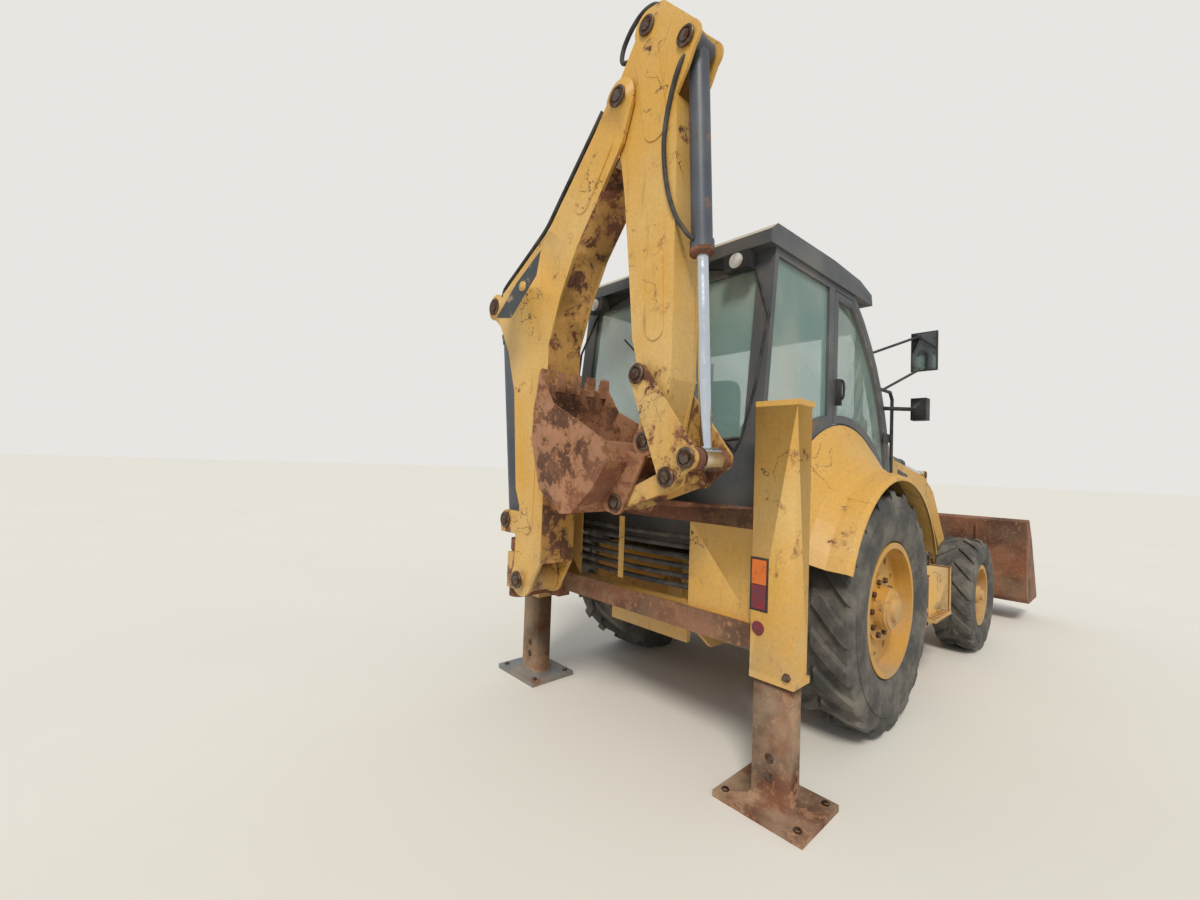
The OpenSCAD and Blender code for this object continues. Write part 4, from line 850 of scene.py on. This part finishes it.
SEAL_CORNERS = [(-0.622, 1.648), (0.622, 1.648), (0.622, 2.552), (-0.622, 2.552), (-0.622, 1.648),
                (-0.5, 1.648)]
seal = [on_rear_wall(y, z, 0.002) for y, z in SEAL_CORNERS]
finish(pipe("rear_seal", seal, 0.008, 10, 3), hose_rubber, "chassis")
arm_route = [on_rear_wall(*p) for p in ((0.10, 2.585, 0.012), (0.11, 2.50, 0.022), (0.20, 2.22, 0.016))]
blade_route = [on_rear_wall(*p) for p in ((0.08, 2.12, 0.006), (0.20, 2.22, 0.010), (0.32, 2.32, 0.006))]
wiper = [pipe("wiper_arm", arm_route, 0.006, 10, 5), pipe("wiper_blade", blade_route, 0.006, 10, 4)]
finish(joined("rear_wiper", wiper), black_plastic, "chassis")

# Work and road lamps: a clear lens in a ring on each housing.
lamp_lens = Finish("lamp_lens", 0.12)
lamp_lens.two_tone(tone(206, 210, 208), tone(150, 140, 124), 14.0, 5.0, 0.4, 0.7)
lamp_lens.relief(lamp_lens.cells(90.0), 0.35, 0.001)
lamp_lens = lamp_lens.mat
for name, s in SIDES:
    glass = turned_shape(f"work_lens_{name}", (-2.204, s * 0.560, 2.590), (-1, 0, 0),
                         [(0.0, 0.040), (0.004, 0.040), (0.005, 0.035), (0.009, 0.020), (0.010, 0.001)], 28)
    finish(glass, lamp_lens, "chassis", 40)
    glass = turned_shape(f"road_lens_{name}", (-0.251, s * 0.910, 1.970), (1, 0, 0),
                         [(0.0, 0.046), (0.004, 0.046), (0.006, 0.040), (0.012, 0.022), (0.013, 0.001)], 28)
    finish(glass, lamp_lens, "chassis", 40)


# Seat
# A sprung box with a padded base and back in black cloth, crowned and drawn in by
# seams, with folding armrests of moulded foam.
seat_cloth = Finish("seat_cloth", 0.9)
weft, warp = (seat_cloth.noise(420.0, 2.0, 0.5, stretch) for stretch in ((1, 1, 3), (3, 1, 1)))
weave = seat_cloth.sum("MULTIPLY", weft, warp)
worn = seat_cloth.band(seat_cloth.noise(5.0, 6.0), 0.4, 0.7)
seat_cloth.colour(seat_cloth.mix(worn, tone(42, 43, 46), tone(74, 70, 64)))
seat_cloth.relief(weave, 0.5, 0.001)
seat_cloth.shader.inputs["Sheen Weight"].default_value = 0.25
seat_cloth = seat_cloth.mat


def signed_power(t, power):
    """The size of t raised to a power, with the sign of t: rounds a circle towards a square."""
    return np.sign(t) * np.abs(t) ** power


def cushion(name, low, high, across_axis, seams, crown):
    """A rounded box from a superellipse in each direction; the face along across_axis is crowned by
    a cosine in both directions and drops along each seam by a narrow bell curve."""
    low, high = np.asarray(low, float), np.asarray(high, float)
    half, middle = (high - low) / 2, (high + low) / 2
    u = np.linspace(-np.pi, np.pi, 120, endpoint=False)
    v = np.linspace(-np.pi / 2, np.pi / 2, 62)[1:-1]
    cu, su = signed_power(np.cos(u), 0.28)[None], signed_power(np.sin(u), 0.28)[None]
    cv, sv = signed_power(np.cos(v), 0.30)[:, None], signed_power(np.sin(v), 0.30)[:, None]
    axes = [i for i in range(3) if i != across_axis]
    unit = np.empty((len(v), len(u), 3))
    unit[..., axes[0]] = cv * cu
    unit[..., axes[1]] = cv * su
    unit[..., across_axis] = sv
    a, b = unit[..., axes[0]], unit[..., axes[1]]
    shape = (1 - crown) + crown * np.cos(a * np.pi / 2) * np.cos(b * np.pi / 2)
    dip = np.zeros_like(a)
    for where in seams:
        dip += 0.16 * np.exp(-((b - where) / 0.035) ** 2)
    face = unit[..., across_axis]
    unit[..., across_axis] = face * shape - np.sign(face) * dip * (np.abs(sv) > 0.5)
    unit[..., axes[0]] *= 1 - 0.04 * (1 - np.abs(b)) * np.abs(sv)
    points = middle + unit * half
    points = np.transpose(points, (1, 0, 2))
    return outward(surface(name, points, closed_u=True, closed_v=False, caps=True))


parts = [
    ("seat_base", (-1.655, -0.245, 1.330), (-1.180, 0.245, 1.452), 2, (-0.55, 0.55), 0.30),
    ("seat_back", (-1.678, -0.240, 1.420), (-1.572, 0.240, 2.075), 0, (-0.35, 0.30), 0.35),
]
for name, low, high, way, seams, crown in parts:
    piece = finish(cushion(name, low, high, way, seams, crown), seat_cloth, "chassis")
for name, s in SIDES:
    low, high = sorted((s * 0.268, s * 0.332))
    rest = cushion(f"armrest_{name}", (-1.605, low, 1.583), (-1.275, high, 1.638), 2, (), 0.12)
    piece = finish(rest, black_plastic, "chassis")
# Below the base, a foot plate and a rubber bellows: rows of height, half length and half width.
folds = [(1.13 + 0.018 * k, 0.104 + 0.012 * (k % 2), 0.160 + 0.012 * (k % 2)) for k in range(11)]
rows = np.array([(1.085, 0.0, 0.0), (1.085, 0.12, 0.18), (1.110, 0.12, 0.18), (1.116, 0.108, 0.166)]
                + folds + [(1.335, 0.15, 0.20), (1.335, 0.0, 0.0)])
turn = np.linspace(0, 2 * np.pi, 64, endpoint=False)
ring = np.stack([signed_power(np.cos(turn), 0.35), signed_power(np.sin(turn), 0.35)], -1)
points = np.stack([-1.45 + ring[None, :, 0] * rows[:, None, 1], ring[None, :, 1] * rows[:, None, 2],
                   np.broadcast_to(rows[:, None, 0], (len(rows), 64))], -1)
points[0] = points[0].mean(0)
points[-1] = points[-1].mean(0)
bellows = outward(surface("seat_bellows", np.transpose(points, (1, 0, 2)), closed_u=True, closed_v=False))
finish(bellows, hose_rubber, "chassis")
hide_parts("seat")


# Controls
# A moulded dash with a steering wheel and dials, and side consoles with the hoe's
# levers in rubber boots.
dress(black_plastic, "console", "mirrors", "grab_rails")
for name, s in SIDES:
    pleats = [(0.008 + 0.010 * k, 0.044 - 0.0034 * k - 0.004 * (k % 2)) for k in range(8)]
    boot = turned_shape(f"lever_boot_{name}", (-2.05, s * 0.46, 1.553), UP,
                        [(0.000, 0.046)] + pleats + [(0.090, 0.013)], 32)
    finish(boot, hose_rubber, "chassis", 40)
DIAL = [(0.0, 0.034), (0.006, 0.034), (0.008, 0.030), (0.006, 0.028), (0.006, 0.001)]
dials = [turned_shape(f"dial_{k}", (-0.628, y, 1.700), (-0.55, 0, 0.84), DIAL, 28)
         for k, y in enumerate((-0.09, 0.0, 0.09))]
finish(joined("dials", dials), lamp_lens, "chassis", 40)


# Fenders and tanks
# Pressed yellow wheel covers with welded seams, and boxes between the wheels that
# hold fuel and oil, with a ribbed step below each door.
# Columns: distance from the middle, and the cover's half length and height over the wheel's centre there
FENDER = [(0.736, 0.960, 1.085), (0.800, 0.915, 0.985), (0.870, 0.850, 0.870), (0.960, 0.810, 0.805),
          (1.055, 0.790, 0.785)]
for k, degrees in enumerate((52.0, 90.0, 126.0)):
    a = math.radians(degrees)
    for name, s in SIDES:
        route = [(-1.210 + r * math.cos(a), s * y, 0.700 + h * math.sin(a)) for y, r, h in FENDER]
        finish(pipe(f"fender_seam_{k}_{name}", route, 0.0045, 8, 4), yellow, "chassis")
recoloured("tanks", [yellow, black_plastic], lambda c, n: c[:, 2] > 0.7805)
STRAP = [(0.66, 0.782), (0.80, 0.783), (0.985, 0.783), (0.992, 0.775), (0.992, 0.600), (0.992, 0.440)]
for name, s in SIDES:
    ribs = []
    for k in range(9):
        rib = [(-0.405 + 0.045 * k, s * y, z) for y, z in ((1.000, 0.5005), (1.028, 0.5012), (1.054, 0.5005))]
        ribs.append(pipe(f"rib_{name}_{k}", rib, 0.0035, 8, 2))
    finish(joined(f"step_ribs_{name}", ribs), dark_rust, "chassis")
    straps = [pipe(f"strap_{name}_{k}", [(x, s * y, z) for y, z in STRAP], 0.006, 8, 4)
              for k, x in enumerate((-0.36, 0.19))]
    finish(joined(f"tank_straps_{name}", straps), dark_rust, "chassis")

# Exhaust and hood trim: a rusted silencer, and a latch on each side of the hood.
exhaust_rust = weathered("exhaust_rust", tone(110, 84, 66), tone(92, 72, 60), 0.7, 0.6, 0.1, 0.8)
dress(exhaust_rust, "exhaust")
for name, s in SIDES:
    bow = [(0.60, s * y, z) for y, z in ((0.402, 0.96), (0.416, 0.97), (0.420, 1.00),
                                         (0.416, 1.03), (0.402, 1.04))]
    latch = pipe(f"hood_latch_{name}", bow, 0.007, 10, 4)
    finish(latch, black_plastic, "chassis")

# Mirrors: silvered glass on the face that looks back.
mirror_face = Finish("mirror_face", 0.05, 1.0)
mirror_face.two_tone(tone(196, 202, 204), tone(140, 134, 122), 9.0, 6.0, 0.5, 0.75)
mirror_face = mirror_face.mat
for name, s in SIDES:
    face = np.array([(0.872, 2.248), (1.023, 2.248), (1.023, 2.512), (0.872, 2.512)])
    if s < 0:
        face = face[::-1] * [-1, 1]
    pane = slab(f"mirror_glass_{name}", face, (-0.3683, 0, 0), (0, 1, 0), UP, 0.0012, 0.0004)
    finish(pane, mirror_face, "chassis")


# Floor and light
# A plain pale floor and backdrop, an even sky, and one broad soft lamp from the
# camera's side.
floor_data = bpy.data.meshes.new("floor")
reach = 120.0
corners = [(-reach, -reach, 0), (reach, -reach, 0), (reach, reach, 0), (-reach, reach, 0)]
floor_data.from_pydata(corners, [], [(0, 1, 2, 3)])
floor = bpy.data.objects.new("floor", floor_data)
bpy.context.scene.collection.objects.link(floor)
pale = Finish("pale_floor", 0.9)
pale.colour(pale.mix(pale.noise(0.6, 3.0), tone(226, 222, 214), tone(220, 216, 208)))
floor_data.materials.append(pale.mat)
floor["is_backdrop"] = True

world = bpy.data.worlds.new("studio")
bpy.context.scene.world = world
world.use_nodes = True
tree = world.node_tree
shown, light = tree.nodes["Background"], tree.nodes.new("ShaderNodeBackground")
shown.inputs["Color"].default_value = (0.80, 0.79, 0.76, 1)
light.inputs["Color"].default_value = (0.95, 0.98, 1.0, 1)
light.inputs["Strength"].default_value = 0.62
path, blend = tree.nodes.new("ShaderNodeLightPath"), tree.nodes.new("ShaderNodeMixShader")
tree.links.new(path.outputs["Is Camera Ray"], blend.inputs[0])
tree.links.new(light.outputs[0], blend.inputs[1])
tree.links.new(shown.outputs[0], blend.inputs[2])
tree.links.new(blend.outputs[0], tree.nodes["World Output"].inputs["Surface"])
sun_data = bpy.data.lights.new("broad_lamp", "SUN")
sun_data.energy = 2.1
sun_data.angle = math.radians(16)
sun_data.color = (1.0, 0.96, 0.88)
sun = bpy.data.objects.new("broad_lamp", sun_data)
bpy.context.scene.collection.objects.link(sun)
sun.rotation_euler = Vector((-0.75, -0.55, 1.0)).to_track_quat("Z", "Y").to_euler()
bpy.context.scene.view_settings.view_transform = "Standard"

low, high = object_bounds()
